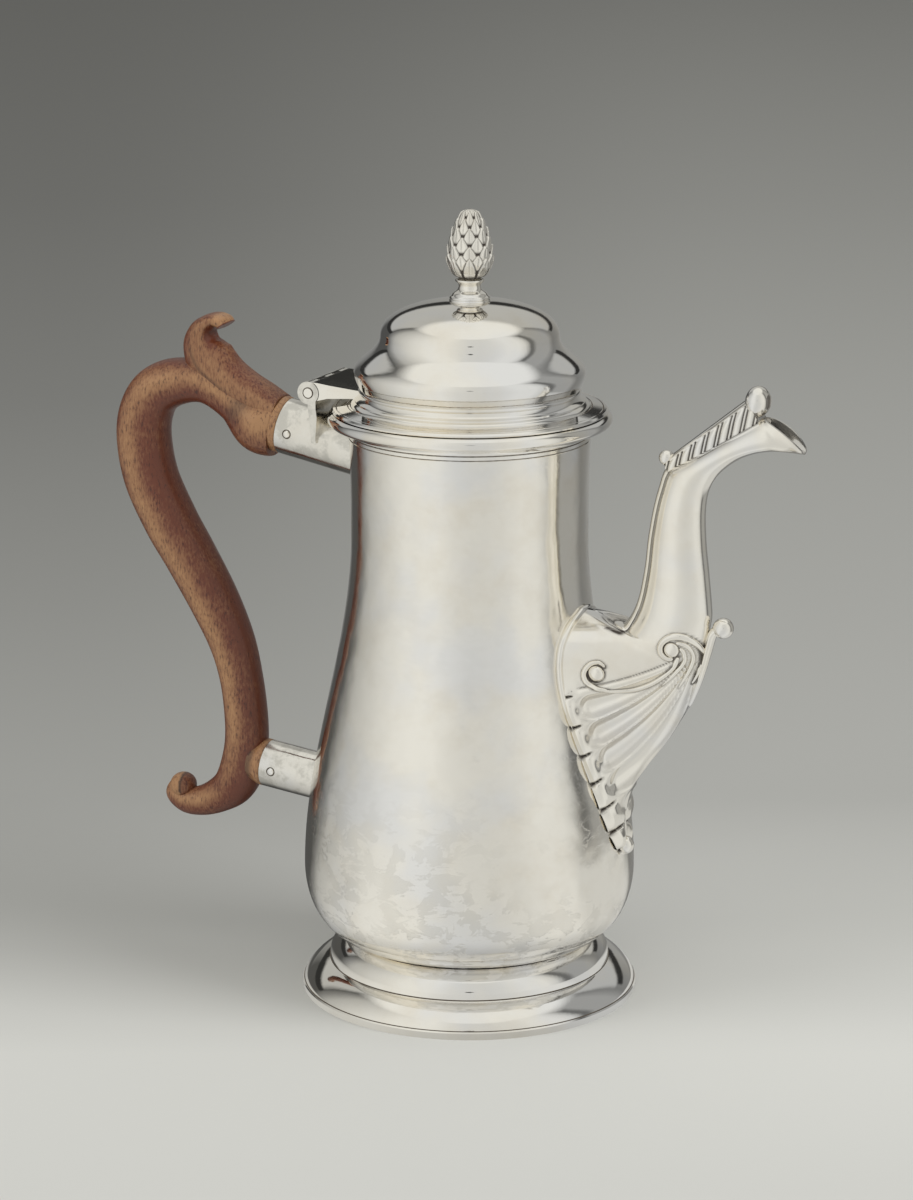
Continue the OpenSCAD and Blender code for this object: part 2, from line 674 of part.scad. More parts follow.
// The curve of the handle, on the line from the upper socket's mouth to the lower one:
// share of the way down, and shares of the handle's reach and of its largest radius
handle_curve = [
    [ 0.004, 0.016, 1.03], [ 0.006, 0.178, 1.07], [-0.045, 0.364, 0.77], [-0.084, 0.573, 0.75],
    [-0.075, 0.775, 0.85], [-0.035, 0.924, 0.93], [ 0.031, 0.995, 0.98], [ 0.113, 0.998, 1.00],
    [ 0.221, 0.933, 1.00], [ 0.337, 0.782, 0.99], [ 0.427, 0.635, 0.96], [ 0.547, 0.449, 0.92],
    [ 0.656, 0.311, 0.84], [ 0.755, 0.233, 0.79], [ 0.857, 0.185, 0.79], [ 0.946, 0.167, 0.80],
    [ 1.026, 0.185, 0.82], [ 1.086, 0.240, 0.77], [ 1.127, 0.338, 0.66], [ 1.155, 0.455, 0.56],
    [ 1.164, 0.571, 0.49], [ 1.148, 0.655, 0.39], [ 1.120, 0.644, 0.28]];

// The thumb scroll, measured from the upper socket's mouth: out, up and half thickness
// as shares of its height, and half width as a share of its width
leaf_curve = [
    [0.06, 0.16, 0.13, 0.63], [0.25, 0.25, 0.16, 0.62], [0.45, 0.34, 0.18, 0.58], [0.65, 0.45, 0.21, 0.55],
    [0.82, 0.59, 0.25, 0.52], [0.90, 0.74, 0.22, 0.50], [0.89, 0.87, 0.15, 0.50], [0.84, 0.95, 0.09, 0.50],
    [0.76, 1.00, 0.06, 0.48], [0.70, 0.98, 0.04, 0.45]];

function handle_row(r) =
    let (u = [upper_mouth[0], upper_mouth[2]], l = [lower_mouth[0], lower_mouth[2]],
         d = l - u, out = [d[1], -d[0]] / norm(d), p = u + r[0] * d + r[1] * handle_out * out)
        [p[0], p[1], r[2] * grip_r, r[2] * grip_r * grip_flat];
function leaf_row(r) =
    [upper_mouth[0] - r[0] * leaf_h, upper_mouth[2] + r[1] * leaf_h, r[2] * leaf_h,
     r[3] * leaf_w];

module handle() {
    color(wood) difference() {
        union() {
            swept(refine([for (r = handle_curve) handle_row(r)], 2), 18);
            swept(refine([for (r = leaf_curve) leaf_row(r)], 2), 14);
            in_upper() translate([0, 0, -collar_len]) cylinder(r = upper_r, h = collar_len);
            in_lower() translate([0, 0, -2 * collar_len])
                cylinder(r1 = lower_r - 1, r2 = lower_r, h = 2 * collar_len);
            in_upper() translate([0, 0, -1])
                cylinder(r = upper_r - socket_wall - tenon_play, h = tenon_len + 1);
            in_lower() translate([0, 0, -1])
                cylinder(r = lower_r - socket_wall - tenon_play, h = tenon_len + 1);
        }
        in_upper() difference() {
            cylinder(r = through / 4, h = through / 2);
            cylinder(r = upper_r - socket_wall - tenon_play, h = through);
        }
        in_upper() pin_hole(socket_pin_r);
        in_lower() pin_hole(socket_pin_r);
    }
}

// ---- hinge --------------------------------------------------------------------------

hinge_x = rim_r + hinge_out;
hinge_z = mouth_z + hinge_rise;
knuckle_w = hinge_len / knuckles;
swing_play = 0.25;

module at_hinge() {
    translate([-hinge_x, 0, hinge_z]) children();
}
// Cylinder along the hinge line over knuckle k, made longer by grow at each end
module over_knuckle(k, r, grow) {
    translate([0, -hinge_len / 2 + k * knuckle_w - grow, 0]) rotate([-90, 0, 0])
        cylinder(r = r, h = knuckle_w + 2 * grow);
}
module hinge_bore(r) {
    rotate([90, 0, 0]) cylinder(r = r, h = through, center = true);
}

module hinge_stand() {
    foot_z = upper_mouth[2] - hinge_z - (upper_x - hinge_x) * tan(upper_tilt);
    leg_w = upper_r + 0.9;
    color(silver) difference() {
        union() {
            at_hinge() for (k = [0:2:knuckles - 1]) over_knuckle(k, knuckle_r, 0);
            at_hinge() intersection() {
                rotate([90, 0, 0]) linear_extrude(height = hinge_len, center = true) polygon([
                    [-0.1, 0], [stand_t, 0], [stand_t, foot_z * 0.48], [1.2, foot_z * 0.9],
                    [1.2, foot_z], [-0.6, foot_z], [-0.1, foot_z * 0.48]]);
                rotate([90, 0, 90]) linear_extrude(height = 20, center = true) polygon([
                    [-hinge_len / 2, 0], [-hinge_len / 2, foot_z * 0.3], [-leg_w, foot_z],
                    [leg_w, foot_z], [hinge_len / 2, foot_z * 0.3], [hinge_len / 2, 0]]);
            }
        }
        at_hinge() for (k = [1:2:knuckles - 2])
            over_knuckle(k, knuckle_r + swing_play, knuckle_play / 2);
        at_hinge() hinge_bore(hinge_pin_r);
        in_upper() cylinder(r = upper_r, h = through);
        body_solid();
        rotate_extrude() rim_section();
    }
}

module hinge_pin() {
    color(silver) at_hinge() rotate([90, 0, 0])
        cylinder(r = hinge_pin_r, h = hinge_len + 0.3, center = true);
}

// ---- lid ----------------------------------------------------------------------------

lid_z = mouth_z + lid_gap;
dome_base_z = lid_z + brim_h;
seat_r = finial_foot_r + 0.2;
crown_z = mouth_z + crown_base_h;
function crown(a) = [crown_r * pow(cos(a), 2 / crown_power),
                     crown_z + crown_rise * pow(sin(a), 2 / crown_power)];
crown_steps = 24;
crown_path = [for (i = [1:crown_steps]) let (p = crown(90 * i / crown_steps))
    if (p[0] > seat_r + 0.5) p];
seat_z = crown_z + crown_rise * pow(1 - pow(seat_r / crown_r, crown_power), 1 / crown_power);
bulge_z = mouth_z + bulge_h;
dome_path = concat(
    bez([dome_foot_r, dome_base_z], [dome_foot_r + 0.4, dome_base_z + 4.6],
        [bulge_r, bulge_z - 3.6], [bulge_r, bulge_z], 9),
    [for (i = [1:10]) bez([bulge_r, bulge_z], [bulge_r, bulge_z + 3.3],
                          [crown_r, crown_z - 5.2], [crown_r, crown_z], 10)[i]],
    crown_path, [[seat_r, seat_z]]);
tang_play = 0.05;

module lid_solid() {
    rotate_extrude() polygon(concat([[0, dome_base_z]], dome_path, [[0, seat_z]]));
}

module lid_dome() {
    hole = tang_r + tang_play;
    inner = beside(concat(dome_path, [[hole, seat_z]]), lid_wall);
    color(silver) rotate_extrude() polygon(concat(
        dome_path, [[hole, seat_z], [hole, seat_z - lid_wall]],
        backwards([for (p = inner) if (p[1] > dome_base_z + 0.4 && p[0] > hole + 1) p]),
        [[dome_foot_r - lid_wall, dome_base_z]]));
}

module lid_flange() {
    inner = dome_foot_r - lid_wall;
    top = dome_base_z;
    color(silver) difference() {
        rotate_extrude() polygon(concat(
            [[inner, lid_z], [brim_r - 0.5, lid_z]],
            [[brim_r, lid_z + 0.4], [brim_r, lid_z + brim_edge - 0.6],
             [brim_r - 0.5, lid_z + brim_edge]],
            [[dome_foot_r + 1.2, top], [inner, top]]));
        for (r = [brim_r - 1.6, brim_r - 5.4])
            translate([0, 0, lid_z + brim_edge
                       + (top - lid_z - brim_edge) * (brim_r - 0.5 - r) / (brim_r - dome_foot_r - 1.7)])
                rotate_extrude() translate([r, 0]) circle(r = line_cut, $fn = 4);
    }
}

module lid_bezel() {
    top = mouth_r - body_wall - bezel_play;
    low = top - bezel_taper;
    color(silver) rotate_extrude() polygon([
        [top - bezel_wall, lid_z], [low - bezel_wall, lid_z - bezel_h],
        [low, lid_z - bezel_h], [top, lid_z]]);
}

module lid_hinge_leaf() {
    reach = hinge_x - dome_foot_r + 2;
    color(silver) difference() {
        union() {
            at_hinge() for (k = [1:2:knuckles - 2]) translate([0, knuckle_play / 2, 0])
                over_knuckle(k, knuckle_r, -knuckle_play / 2);
            at_hinge() rotate([90, 0, 0]) linear_extrude(height = hinge_len, center = true)
                polygon([[0.5, -1], [3.2, -2.5], [7.2, -1.4], [reach * 0.8, -0.7], [reach, -0.7],
                         [reach, 2.1], [8.3, 3.1], [3.3, 3.7], [0.5, 3.8]]);
        }
        at_hinge() for (k = [0:2:knuckles - 1])
            over_knuckle(k, knuckle_r + swing_play, knuckle_play / 2);
        at_hinge() hinge_bore(hinge_pin_r + hinge_play);
        lid_solid();
    }
}

// ---- finial -------------------------------------------------------------------------

cone_around = 6 * cone_scales;
cone_up = 26;
scale_rows = 7;
scale_h = 0.8;
cone_low = 0.6;  // less than 1 puts the widest place below the middle
cone_full = 0.5; // less than 1 fills the ends out to an egg

function cone_core(s) = cone_r * pow(sin(180 * pow(s, cone_low)), cone_full);
function ridge(v) = abs(2 * (v - floor(v)) - 1);
// Height of the scales: two crossing families of spiral furrows leave pointed lozenges
function scale_relief(a, s) =
    let (p = cone_scales * a / 360 + scale_rows * s / 2,
         q = cone_scales * a / 360 - scale_rows * s / 2)
        scale_h * (1 - max(ridge(p), ridge(q))) * min(1, 6 * s, 8 * (1 - s));

module cone() {
    s = [for (i = [0:cone_up]) 0.02 + 0.975 * i / cone_up];
    z0 = seat_z + stem_h;
    points = [for (i = [0:cone_up], k = [0:cone_around - 1])
        let (a = 360 * k / cone_around, r = cone_core(s[i]) + scale_relief(a, s[i]))
            [r * cos(a), r * sin(a), z0 + (finial_h - stem_h) * s[i]]];
    n = cone_around;
    skin = [for (i = [0:cone_up - 1], k = [0:n - 1]) let (p = i * n + k, q = i * n + (k + 1) % n)
        each [[p, q + n, q], [p, p + n, q + n]]];
    polyhedron(points = points, faces = concat(skin, [[for (k = [0:n - 1]) k]],
        [[for (k = [n - 1:-1:0]) cone_up * n + k]]), convexity = 4);
}

module finial() {
    foot = finial_foot_r;
    color(silver) union() {
        cone();
        translate([0, 0, seat_z]) rotate_extrude() polygon(concat(
            [[0, 0], [foot - 0.3, 0], [foot, 0.25], [foot, 0.55], [foot - 0.35, 0.75],
             [foot - 0.1, 0.95], [foot - 0.1, 1.3], [foot - 0.6, 1.6]],
            bez([foot - 0.9, 1.9], [foot - 1.1, 3.2], [3.9, 3.3], [3.7, stem_h - 2.7], 8),
            [[4.1, stem_h - 1.5], [4.8, stem_h - 0.8], [4.9, stem_h - 0.35],
             [4.5, stem_h + 0.1], [3.9, stem_h + 0.5], [3.6, stem_h + 1.6],
             [0, stem_h + 1.6]]));
        translate([0, 0, seat_z - lid_wall - washer_h - nut_h - 0.8])
            cylinder(r = tang_r, h = lid_wall + washer_h + nut_h + 1.8);
    }
}

module finial_washer() {
    color(silver) translate([0, 0, seat_z - lid_wall - washer_h]) difference() {
        cylinder(r = washer_r, h = washer_h);
        translate([0, 0, -1]) cylinder(r = tang_r + tang_play, h = washer_h + 2);
    }
}

module finial_nut() {
    color(silver) translate([0, 0, seat_z - lid_wall - washer_h - nut_h]) difference() {
        translate([-nut_side / 2, -nut_side / 2, 0]) cube([nut_side, nut_side, nut_h]);
        translate([0, 0, -1]) cylinder(r = tang_r, h = nut_h + 2);
    }
}

// ---- one line for each node ---------------------------------------------------------

body_shell();
body_rim();
foot();
foot_rim();
spout_half_left();
spout_half_right();
spout_back_rib();
spout_crest();
spout_front_scroll();
spout_tail_drop();
upper_socket();
lower_socket();
upper_socket_pin();
lower_socket_pin();
handle();
hinge_stand();
hinge_pin();
lid_dome();
lid_flange();
lid_bezel();
lid_hinge_leaf();
finial();
finial_washer();
finial_nut();
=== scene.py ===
# %% [markdown]
# # A silver coffee pot on a spreading foot
#
# The pot is a hammered silver body with a cast spout, a hinged lid with a pine-cone
# finial, and a carved wooden handle pinned into two sockets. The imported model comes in
# first, because every piece made here has to sit on it and ride with one of its bodies.

# %% Load the frame
import math

import bmesh
import bpy
import numpy as np
from mathutils import Matrix, Vector
from mathutils.bvhtree import BVHTree
from mathutils.kdtree import KDTree


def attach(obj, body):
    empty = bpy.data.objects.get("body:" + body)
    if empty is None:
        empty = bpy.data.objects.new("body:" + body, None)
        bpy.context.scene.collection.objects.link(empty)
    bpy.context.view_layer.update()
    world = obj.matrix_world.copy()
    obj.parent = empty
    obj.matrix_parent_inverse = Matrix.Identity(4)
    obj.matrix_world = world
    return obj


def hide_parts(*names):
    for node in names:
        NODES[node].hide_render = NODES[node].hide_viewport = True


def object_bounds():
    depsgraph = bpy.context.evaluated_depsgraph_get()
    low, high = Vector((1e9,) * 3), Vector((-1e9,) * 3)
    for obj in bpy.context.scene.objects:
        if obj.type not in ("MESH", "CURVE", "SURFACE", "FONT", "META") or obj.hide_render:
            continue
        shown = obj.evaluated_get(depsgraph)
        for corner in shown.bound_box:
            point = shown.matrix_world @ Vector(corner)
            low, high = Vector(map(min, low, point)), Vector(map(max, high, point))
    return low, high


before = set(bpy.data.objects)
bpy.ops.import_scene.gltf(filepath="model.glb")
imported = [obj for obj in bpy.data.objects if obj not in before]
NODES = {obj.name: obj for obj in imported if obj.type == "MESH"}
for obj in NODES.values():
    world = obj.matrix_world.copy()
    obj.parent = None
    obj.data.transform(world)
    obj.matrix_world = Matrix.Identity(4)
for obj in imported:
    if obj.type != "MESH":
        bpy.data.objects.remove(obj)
cad_low, cad_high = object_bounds()
MM = 0.001
print("frame:", len(NODES), "nodes, box in mm",
      [round(v / MM, 1) for v in cad_low], [round(v / MM, 1) for v in cad_high])

# %% [markdown]
# ## Where the camera stands
#
# A long lens from a little over a metre keeps the foot and the rim nearly parallel. The
# camera looks down at the pot by about fourteen degrees. It has walked twenty-four
# degrees round from the side view towards the spout, so the shell and the handle both
# show, and it aims a little left of the pot's centre line, to balance the long handle.

# %% Set the camera
CAMERA_TURN = math.radians(24.0)
CAMERA_TILT = math.radians(14.416)
CAMERA_AWAY = 1252.8 * MM
CAMERA_LENS, CAMERA_FILM = 110.92, 36.0
AIM_HEIGHT = 136.6 * MM
AIM_ASIDE = -4.45 * MM

back = np.array([math.sin(CAMERA_TURN) * math.cos(CAMERA_TILT),
                 -math.cos(CAMERA_TURN) * math.cos(CAMERA_TILT), math.sin(CAMERA_TILT)])
aside = np.array([math.cos(CAMERA_TURN), math.sin(CAMERA_TURN), 0.0])
aim = aside * AIM_ASIDE + np.array([0, 0, AIM_HEIGHT])

camera = bpy.data.objects.new("camera", bpy.data.cameras.new("camera"))
bpy.context.scene.collection.objects.link(camera)
camera.location = aim + back * CAMERA_AWAY
camera.rotation_euler = (math.pi / 2 - CAMERA_TILT, 0, CAMERA_TURN)
camera.data.sensor_fit = "AUTO"
camera.data.sensor_width = CAMERA_FILM
camera.data.lens = CAMERA_LENS
camera.data.clip_start = 0.05
camera.data.clip_end = 60.0
bpy.context.scene.camera = camera
print("camera at", [round(v, 3) for v in camera.location])

# %% [markdown]
# ## A few words for building node materials
#
# Every finish below is a small network of nodes. These helpers keep each network to a
# few readable lines: one adds a node and wires its inputs, one does arithmetic, one
# spreads a number over a new range and one blends two colours. A noise and a bump are
# used so often that each gets a word of its own.

# %% Node helpers
def new_material(name):
    material = bpy.data.materials.new(name)
    material.use_nodes = True
    tree = material.node_tree
    tree.nodes.clear()
    return material, tree


def add(tree, kind, inputs=None, **settings):
    node = tree.nodes.new(kind)
    for key, value in settings.items():
        setattr(node, key, value)
    for key, value in (inputs or {}).items():
        if isinstance(value, bpy.types.NodeSocket):
            tree.links.new(value, node.inputs[key])
        else:
            node.inputs[key].default_value = value
    return node


def sums(tree, operation, *values, clamp=False):
    node = add(tree, "ShaderNodeMath", dict(enumerate(values)), operation=operation)
    node.use_clamp = clamp
    return node.outputs[0]


def between(tree, value, low, high, out_low=0.0, out_high=1.0, smooth=True):
    node = add(tree, "ShaderNodeMapRange",
               {"Value": value, "From Min": low, "From Max": high,
                "To Min": out_low, "To Max": out_high},
               interpolation_type="SMOOTHSTEP" if smooth else "LINEAR")
    return node.outputs["Result"]


def blend(tree, share, one, other):
    node = add(tree, "ShaderNodeMix", {"Factor": share, "A": one, "B": other},
               data_type="RGBA")
    return node.outputs["Result"]


def noise(tree, where, scale, detail, roughness, distortion=0.0):
    node = add(tree, "ShaderNodeTexNoise",
               {"Vector": where, "Scale": scale, "Detail": detail, "Roughness": roughness,
                "Distortion": distortion})
    return node.outputs["Fac"]


def bumped(tree, height, strength, distance, under=None):
    inputs = {"Height": height, "Strength": strength, "Distance": distance}
    if under is not None:
        inputs["Normal"] = under
    return add(tree, "ShaderNodeBump", inputs).outputs["Normal"]


def stored(tree, name):
    # a number that the mesh carries at each of its points
    return add(tree, "ShaderNodeAttribute", attribute_name=name).outputs["Fac"]


print("helpers ready; Blender", bpy.app.version_string)

# %% [markdown]
# ## The studio
#
# Polished silver shows its surroundings more than itself, so the room is half of the
# finish. In a studio a pot like this stands in a tent of white cloth: one broad bright
# sheet bent round the front, a narrow dark gap where it ends, and a duller screen at the
# side. The cloth is written down as a ring of brightness by compass angle, as one reads
# it off with a light meter while turning round on the pot's own spot.

# %% The ring of cloth
# compass angle from the camera's side (left is negative), brightness
TENT = [
    (-180, 0.30), (-165, 0.22), (-156, 0.08), (-130, 0.08), (-122, 0.22), (-112, 0.44),
    (-95, 0.57), (-80, 0.67), (-62, 0.78), (-45, 0.82), (-30, 0.81), (-14, 0.71), (0, 0.67),
    (14, 0.66), (30, 0.69), (50, 0.77), (66, 0.76), (75, 0.64), (80, 0.42), (84, 0.15),
    (88, 0.15), (94, 0.35), (118, 0.35), (130, 0.20), (146, 0.24), (162, 0.31), (180, 0.30)]
CLOTH_BLUE = 0.96  # white cloth is a little warm


def compass_of(tree, x, y):
    to_right = sums(tree, "ADD", sums(tree, "MULTIPLY", x, math.cos(CAMERA_TURN)),
                    sums(tree, "MULTIPLY", y, math.sin(CAMERA_TURN)))
    to_front = sums(tree, "SUBTRACT", sums(tree, "MULTIPLY", x, math.sin(CAMERA_TURN)),
                    sums(tree, "MULTIPLY", y, math.cos(CAMERA_TURN)))
    angle = sums(tree, "DEGREES", sums(tree, "ARCTAN2", to_right, to_front))
    return to_right, to_front, angle


def set_stops(ramp, places, colours):
    stops = ramp.color_ramp.elements
    while len(stops) < len(places):
        stops.new(0.5)
    for stop, place, colour in zip(stops, places, colours):
        stop.position = place
        stop.color = (*colour, 1)


def tent_ring(tree, angle):
    ramp = add(tree, "ShaderNodeValToRGB",
               {"Fac": between(tree, angle, -180, 180, smooth=False)})
    set_stops(ramp, [(turn + 180) / 360 for turn, _ in TENT],
              [(bright,) * 3 for _, bright in TENT])
    return ramp.outputs["Color"]


def edge(tree, value, at, soft):
    return between(tree, value, at - soft, at + soft)


def cloth_colour(tree, light):
    warm = {"Red": light, "Green": light, "Blue": sums(tree, "MULTIPLY", light, CLOTH_BLUE)}
    return add(tree, "ShaderNodeCombineColor", warm).outputs["Color"]


print("tent:", len(TENT), "stops, brightest", max(bright for _, bright in TENT))

# %% [markdown]
# The tent becomes the world's own light, which is lighter to render than real sheets and
# has no seams. Behind the pot the room is unlit between two heights, and that dark band
# draws the thin black outlines on the dome and the foot. A bright sheet hangs overhead. A
# small round opening, where the lens looks in, is the dark speck in the middle of a dome.

# %% Build the tent in the world
ROOM_DARK = 0.03
DARK_BAND = (12, 19)  # degrees above the floor
BAND_ENDS = (-128, 136)  # compass angles where the cloth stops and the dark room starts
BEHIND = 130
LOW_SHEET, OVERHEAD_SHEET, OVERHEAD_FROM = 0.46, 0.82, 50
OPENING = {"turn": 0.0, "up": 14.4, "wide": 3.4, "tall": 2.8}  # half sizes in degrees

world = bpy.data.worlds.new("studio")
bpy.context.scene.world = world
world.use_nodes = True
room = world.node_tree
room.nodes.clear()

look = add(room, "ShaderNodeTexCoord")
axes = add(room, "ShaderNodeSeparateXYZ", {"Vector": look.outputs["Generated"]})
_, _, compass = compass_of(room, axes.outputs["X"], axes.outputs["Y"])
height = sums(room, "DEGREES", sums(room, "ARCSINE", axes.outputs["Z"]))

in_front = sums(room, "MULTIPLY", edge(room, compass, BAND_ENDS[0], 2),
                edge(room, compass, BAND_ENDS[1], -2))
band = sums(room, "MULTIPLY", edge(room, height, DARK_BAND[0], 1.5),
            sums(room, "SUBTRACT", 1.0, in_front))
light = sums(room, "MULTIPLY", tent_ring(room, compass), sums(room, "SUBTRACT", 1.0, band))
light = sums(room, "MAXIMUM", light, ROOM_DARK)
behind = edge(room, sums(room, "ABSOLUTE", compass), BEHIND, 6)
above_band = sums(room, "MULTIPLY", edge(room, height, DARK_BAND[1], 2.0), behind)
light = sums(room, "MAXIMUM", light, sums(room, "MULTIPLY", above_band, LOW_SHEET))
overhead = edge(room, height, OVERHEAD_FROM, 9)
light = sums(room, "MAXIMUM", light, sums(room, "MULTIPLY", overhead, OVERHEAD_SHEET))

off_x = sums(room, "DIVIDE", sums(room, "SUBTRACT", compass, OPENING["turn"]),
             OPENING["wide"])
off_y = sums(room, "DIVIDE", sums(room, "SUBTRACT", height, OPENING["up"]), OPENING["tall"])
from_lens = sums(room, "SQRT", sums(room, "ADD", sums(room, "MULTIPLY", off_x, off_x),
                                    sums(room, "MULTIPLY", off_y, off_y)))
light = sums(room, "MULTIPLY", light, between(room, from_lens, 0.7, 1.3, 0.10, 1.0))

BEYOND_FLOOR = (0.15, 0.15, 0.14, 1.0)  # what the camera sees past the floor's far edge
rays = add(room, "ShaderNodeLightPath")
tone = blend(room, rays.outputs["Is Camera Ray"], cloth_colour(room, light), BEYOND_FLOOR)
sky = add(room, "ShaderNodeBackground", {"Color": tone, "Strength": 1.0})
add(room, "ShaderNodeOutputWorld", {"Surface": sky.outputs["Background"]})
print("world nodes:", len(room.nodes))

# %% [markdown]
# Two large soft lamps shape the wood: the stronger one from the front right, which throws
# the soft shadow to the left of the foot, and a weaker one from the left, which lights
# the outer edge of the handle. They are hidden from mirror reflections, because the tent
# cloth hides them from the silver.

# %% Add the lamps
# name, parts of its way to the right, to the front and up, energy in watts
LAMPS = [("key_lamp", 0.72, 0.36, 0.56, 30.0), ("side_lamp", -0.88, 0.34, 0.34, 22.0)]
LAMP_AWAY, LAMP_WIDE, LAMP_TALL = 3.0, 1.5, 1.2
for name, right_part, front_part, up_part, energy in LAMPS:
    lamp = bpy.data.objects.new(name, bpy.data.lights.new(name, "AREA"))
    bpy.context.scene.collection.objects.link(lamp)
    lamp.data.shape = "RECTANGLE"
    lamp.data.size, lamp.data.size_y = LAMP_WIDE, LAMP_TALL
    lamp.data.energy = energy
    way = aside * right_part + back * front_part + np.array([0, 0, up_part])
    way /= np.linalg.norm(way)
    lamp.location = way * LAMP_AWAY
    lamp.rotation_mode = "QUATERNION"
    lamp.rotation_quaternion = Vector(way).to_track_quat("Z", "Y")
    lamp.visible_glossy = False
    print(name, [round(v, 2) for v in lamp.location])

# %% [markdown]
# The floor is one large sheet of white paper that runs far back. Its colour carries painted
# shade: light near the pot, darker behind it and darkest at the far left. Its colour comes
# from two short tables of tones, one along the right side of the view and one along the
# left, and a blend across them.

# %% Lay the paper and tone it
# metres towards the camera; tone at the right edge of the view and at the left
FLOOR_TONES_WITH_SHADE = [(-3.7, 0.257, 0.183), (-1.88, 0.327, 0.199), (-1.03, 0.389, 0.235),
               (-0.53, 0.421, 0.304), (-0.21, 0.458, 0.378), (-0.085, 0.60, 0.45),
               (-0.03, 0.65, 0.51), (0.02, 0.67, 0.60), (0.07, 0.71, 0.68),
               (0.18, 0.66, 0.66), (0.5, 0.63, 0.63)]
PAPER_BLUE = 0.965
PAPER_R, PAPER_CORNERS = 8.0, 96
TONE_NEAR, TONE_FAR = FLOOR_TONES_WITH_SHADE[-1][0], FLOOR_TONES_WITH_SHADE[0][0]

floor_mesh = bpy.data.meshes.new("floor")
turns = [math.tau * i / PAPER_CORNERS for i in range(PAPER_CORNERS)]
floor_mesh.from_pydata([(PAPER_R * math.cos(t), PAPER_R * math.sin(t), 0) for t in turns],
                       [], [list(range(PAPER_CORNERS))])
floor = bpy.data.objects.new("floor", floor_mesh)
bpy.context.scene.collection.objects.link(floor)
paper, tree = new_material("paper_sweep")
floor_mesh.materials.append(paper)
spot = add(tree, "ShaderNodeSeparateXYZ",
           {"Vector": add(tree, "ShaderNodeTexCoord").outputs["Object"]})
rightward, toward, turned_to = compass_of(tree, spot.outputs["X"], spot.outputs["Y"])


def near_share(metres):
    return (TONE_NEAR - metres) / (TONE_NEAR - TONE_FAR)


def tone_ramp(column):
    # equal steps of the square root keep the stops near the pot apart
    share = sums(tree, "DIVIDE", sums(tree, "SUBTRACT", TONE_NEAR, toward),
                 TONE_NEAR - TONE_FAR, clamp=True)
    ramp = add(tree, "ShaderNodeValToRGB", {"Fac": sums(tree, "POWER", share, 0.5)})
    rows = FLOOR_TONES_WITH_SHADE[::-1]
    set_stops(ramp, [near_share(row[0]) ** 0.5 for row in rows],
              [(row[column], row[column], row[column] * PAPER_BLUE) for row in rows])
    return ramp.outputs["Color"]


gone = sums(tree, "SUBTRACT", CAMERA_AWAY * math.cos(CAMERA_TILT), toward)
across = sums(tree, "DIVIDE", rightward, sums(tree, "MAXIMUM", gone, 0.05))
paper_tone_with_shade = blend(tree, between(tree, across, -0.115, 0.085), tone_ramp(2), tone_ramp(1))
cloth = add(tree, "ShaderNodeBsdfDiffuse", {"Color": paper_tone_with_shade})
print("floor tones:", len(FLOOR_TONES_WITH_SHADE), "from", TONE_FAR, "to", TONE_NEAR, "m")

# %% [markdown]
# A mirror looks at the paper too. For reflected rays the paper glows with the same ring of
# brightness as the tent cloth that stands behind it: painted light. It is dimmer right under
# the foot, a painted shade. In front of the dark gap the paper near the pot glows as if
# still lit from both sides, a painted light that keeps the low part of the belly bright.

# %% Let the silver see the paper
UNDER_FOOT, CLEAR_OF_FOOT = 0.056, 0.080
GAP_LIT, GAP_LIT_NEAR, GAP_LIT_FAR = 0.64, 0.28, 0.50
GAP_SIDES = (68, 128)
from_pot = sums(tree, "SQRT", sums(tree, "ADD", sums(tree, "MULTIPLY", toward, toward),
                                   sums(tree, "MULTIPLY", rightward, rightward)))
seen = between(tree, from_pot, UNDER_FOOT, CLEAR_OF_FOOT, 0.72, 0.98)
in_gap = sums(tree, "MULTIPLY", edge(tree, turned_to, GAP_SIDES[0], 6),
              edge(tree, turned_to, GAP_SIDES[1], -10))
gap_light = sums(tree, "MULTIPLY",
                 between(tree, from_pot, GAP_LIT_FAR, GAP_LIT_NEAR, 0.0, GAP_LIT), in_gap)
ringed = add(tree, "ShaderNodeSeparateColor", {"Color": tent_ring(tree, turned_to)})
answer = sums(tree, "MAXIMUM", ringed.outputs["Red"], gap_light)
glow = add(tree, "ShaderNodeEmission",
           {"Color": cloth_colour(tree, answer), "Strength": seen})
path = add(tree, "ShaderNodeLightPath")
both = add(tree, "ShaderNodeMixShader", {0: path.outputs["Is Glossy Ray"],
                                         1: cloth.outputs["BSDF"], 2: glow.outputs[0]})
add(tree, "ShaderNodeOutputMaterial", {"Surface": both.outputs[0]})
print("floor nodes:", len(tree.nodes))

# %% [markdown]
# ## Silver
#
# Silver is a metal, so all of its colour is in its reflection: a warm near-white. It is
# never one even colour. Thin tarnish makes some clouds yellower and some cooler, and
# places that are often handled have lost part of their shine. Where a mesh carries a
# "groove" number, the hollow is painted dark, as dried old polish and as shade: it is
# dark, and no metal at all.

# %% The colours of old silver
SILVER_LIGHT = (0.94, 0.91, 0.845, 1.0)
SILVER_WARM = (0.88, 0.83, 0.74, 1.0)
SILVER_COOL = (0.875, 0.87, 0.865, 1.0)
SILVER_DULL = (0.62, 0.60, 0.55, 1.0)
# old polish and painted shade in hollows and beside joined parts
SILVER_GRIME_AND_SHADE = (0.045, 0.034, 0.026, 1.0)
HAMMER_FLATTEN = (1.0, 1.0, 1.7)


def clouded_silver(tree, cloud, broad):
    tint = blend(tree, between(tree, cloud, 0.40, 0.78), SILVER_LIGHT, SILVER_WARM)
    return blend(tree, between(tree, broad, 0.47, 0.66), tint, SILVER_COOL)


def handled(tree, where, tint, dull):
    # handled and dented places have lost part of their shine
    patch = noise(tree, where, 130.0, 7.0, 0.65)
    return blend(tree, between(tree, patch, 0.44, 0.60, dull * 0.35, dull), tint, SILVER_DULL)


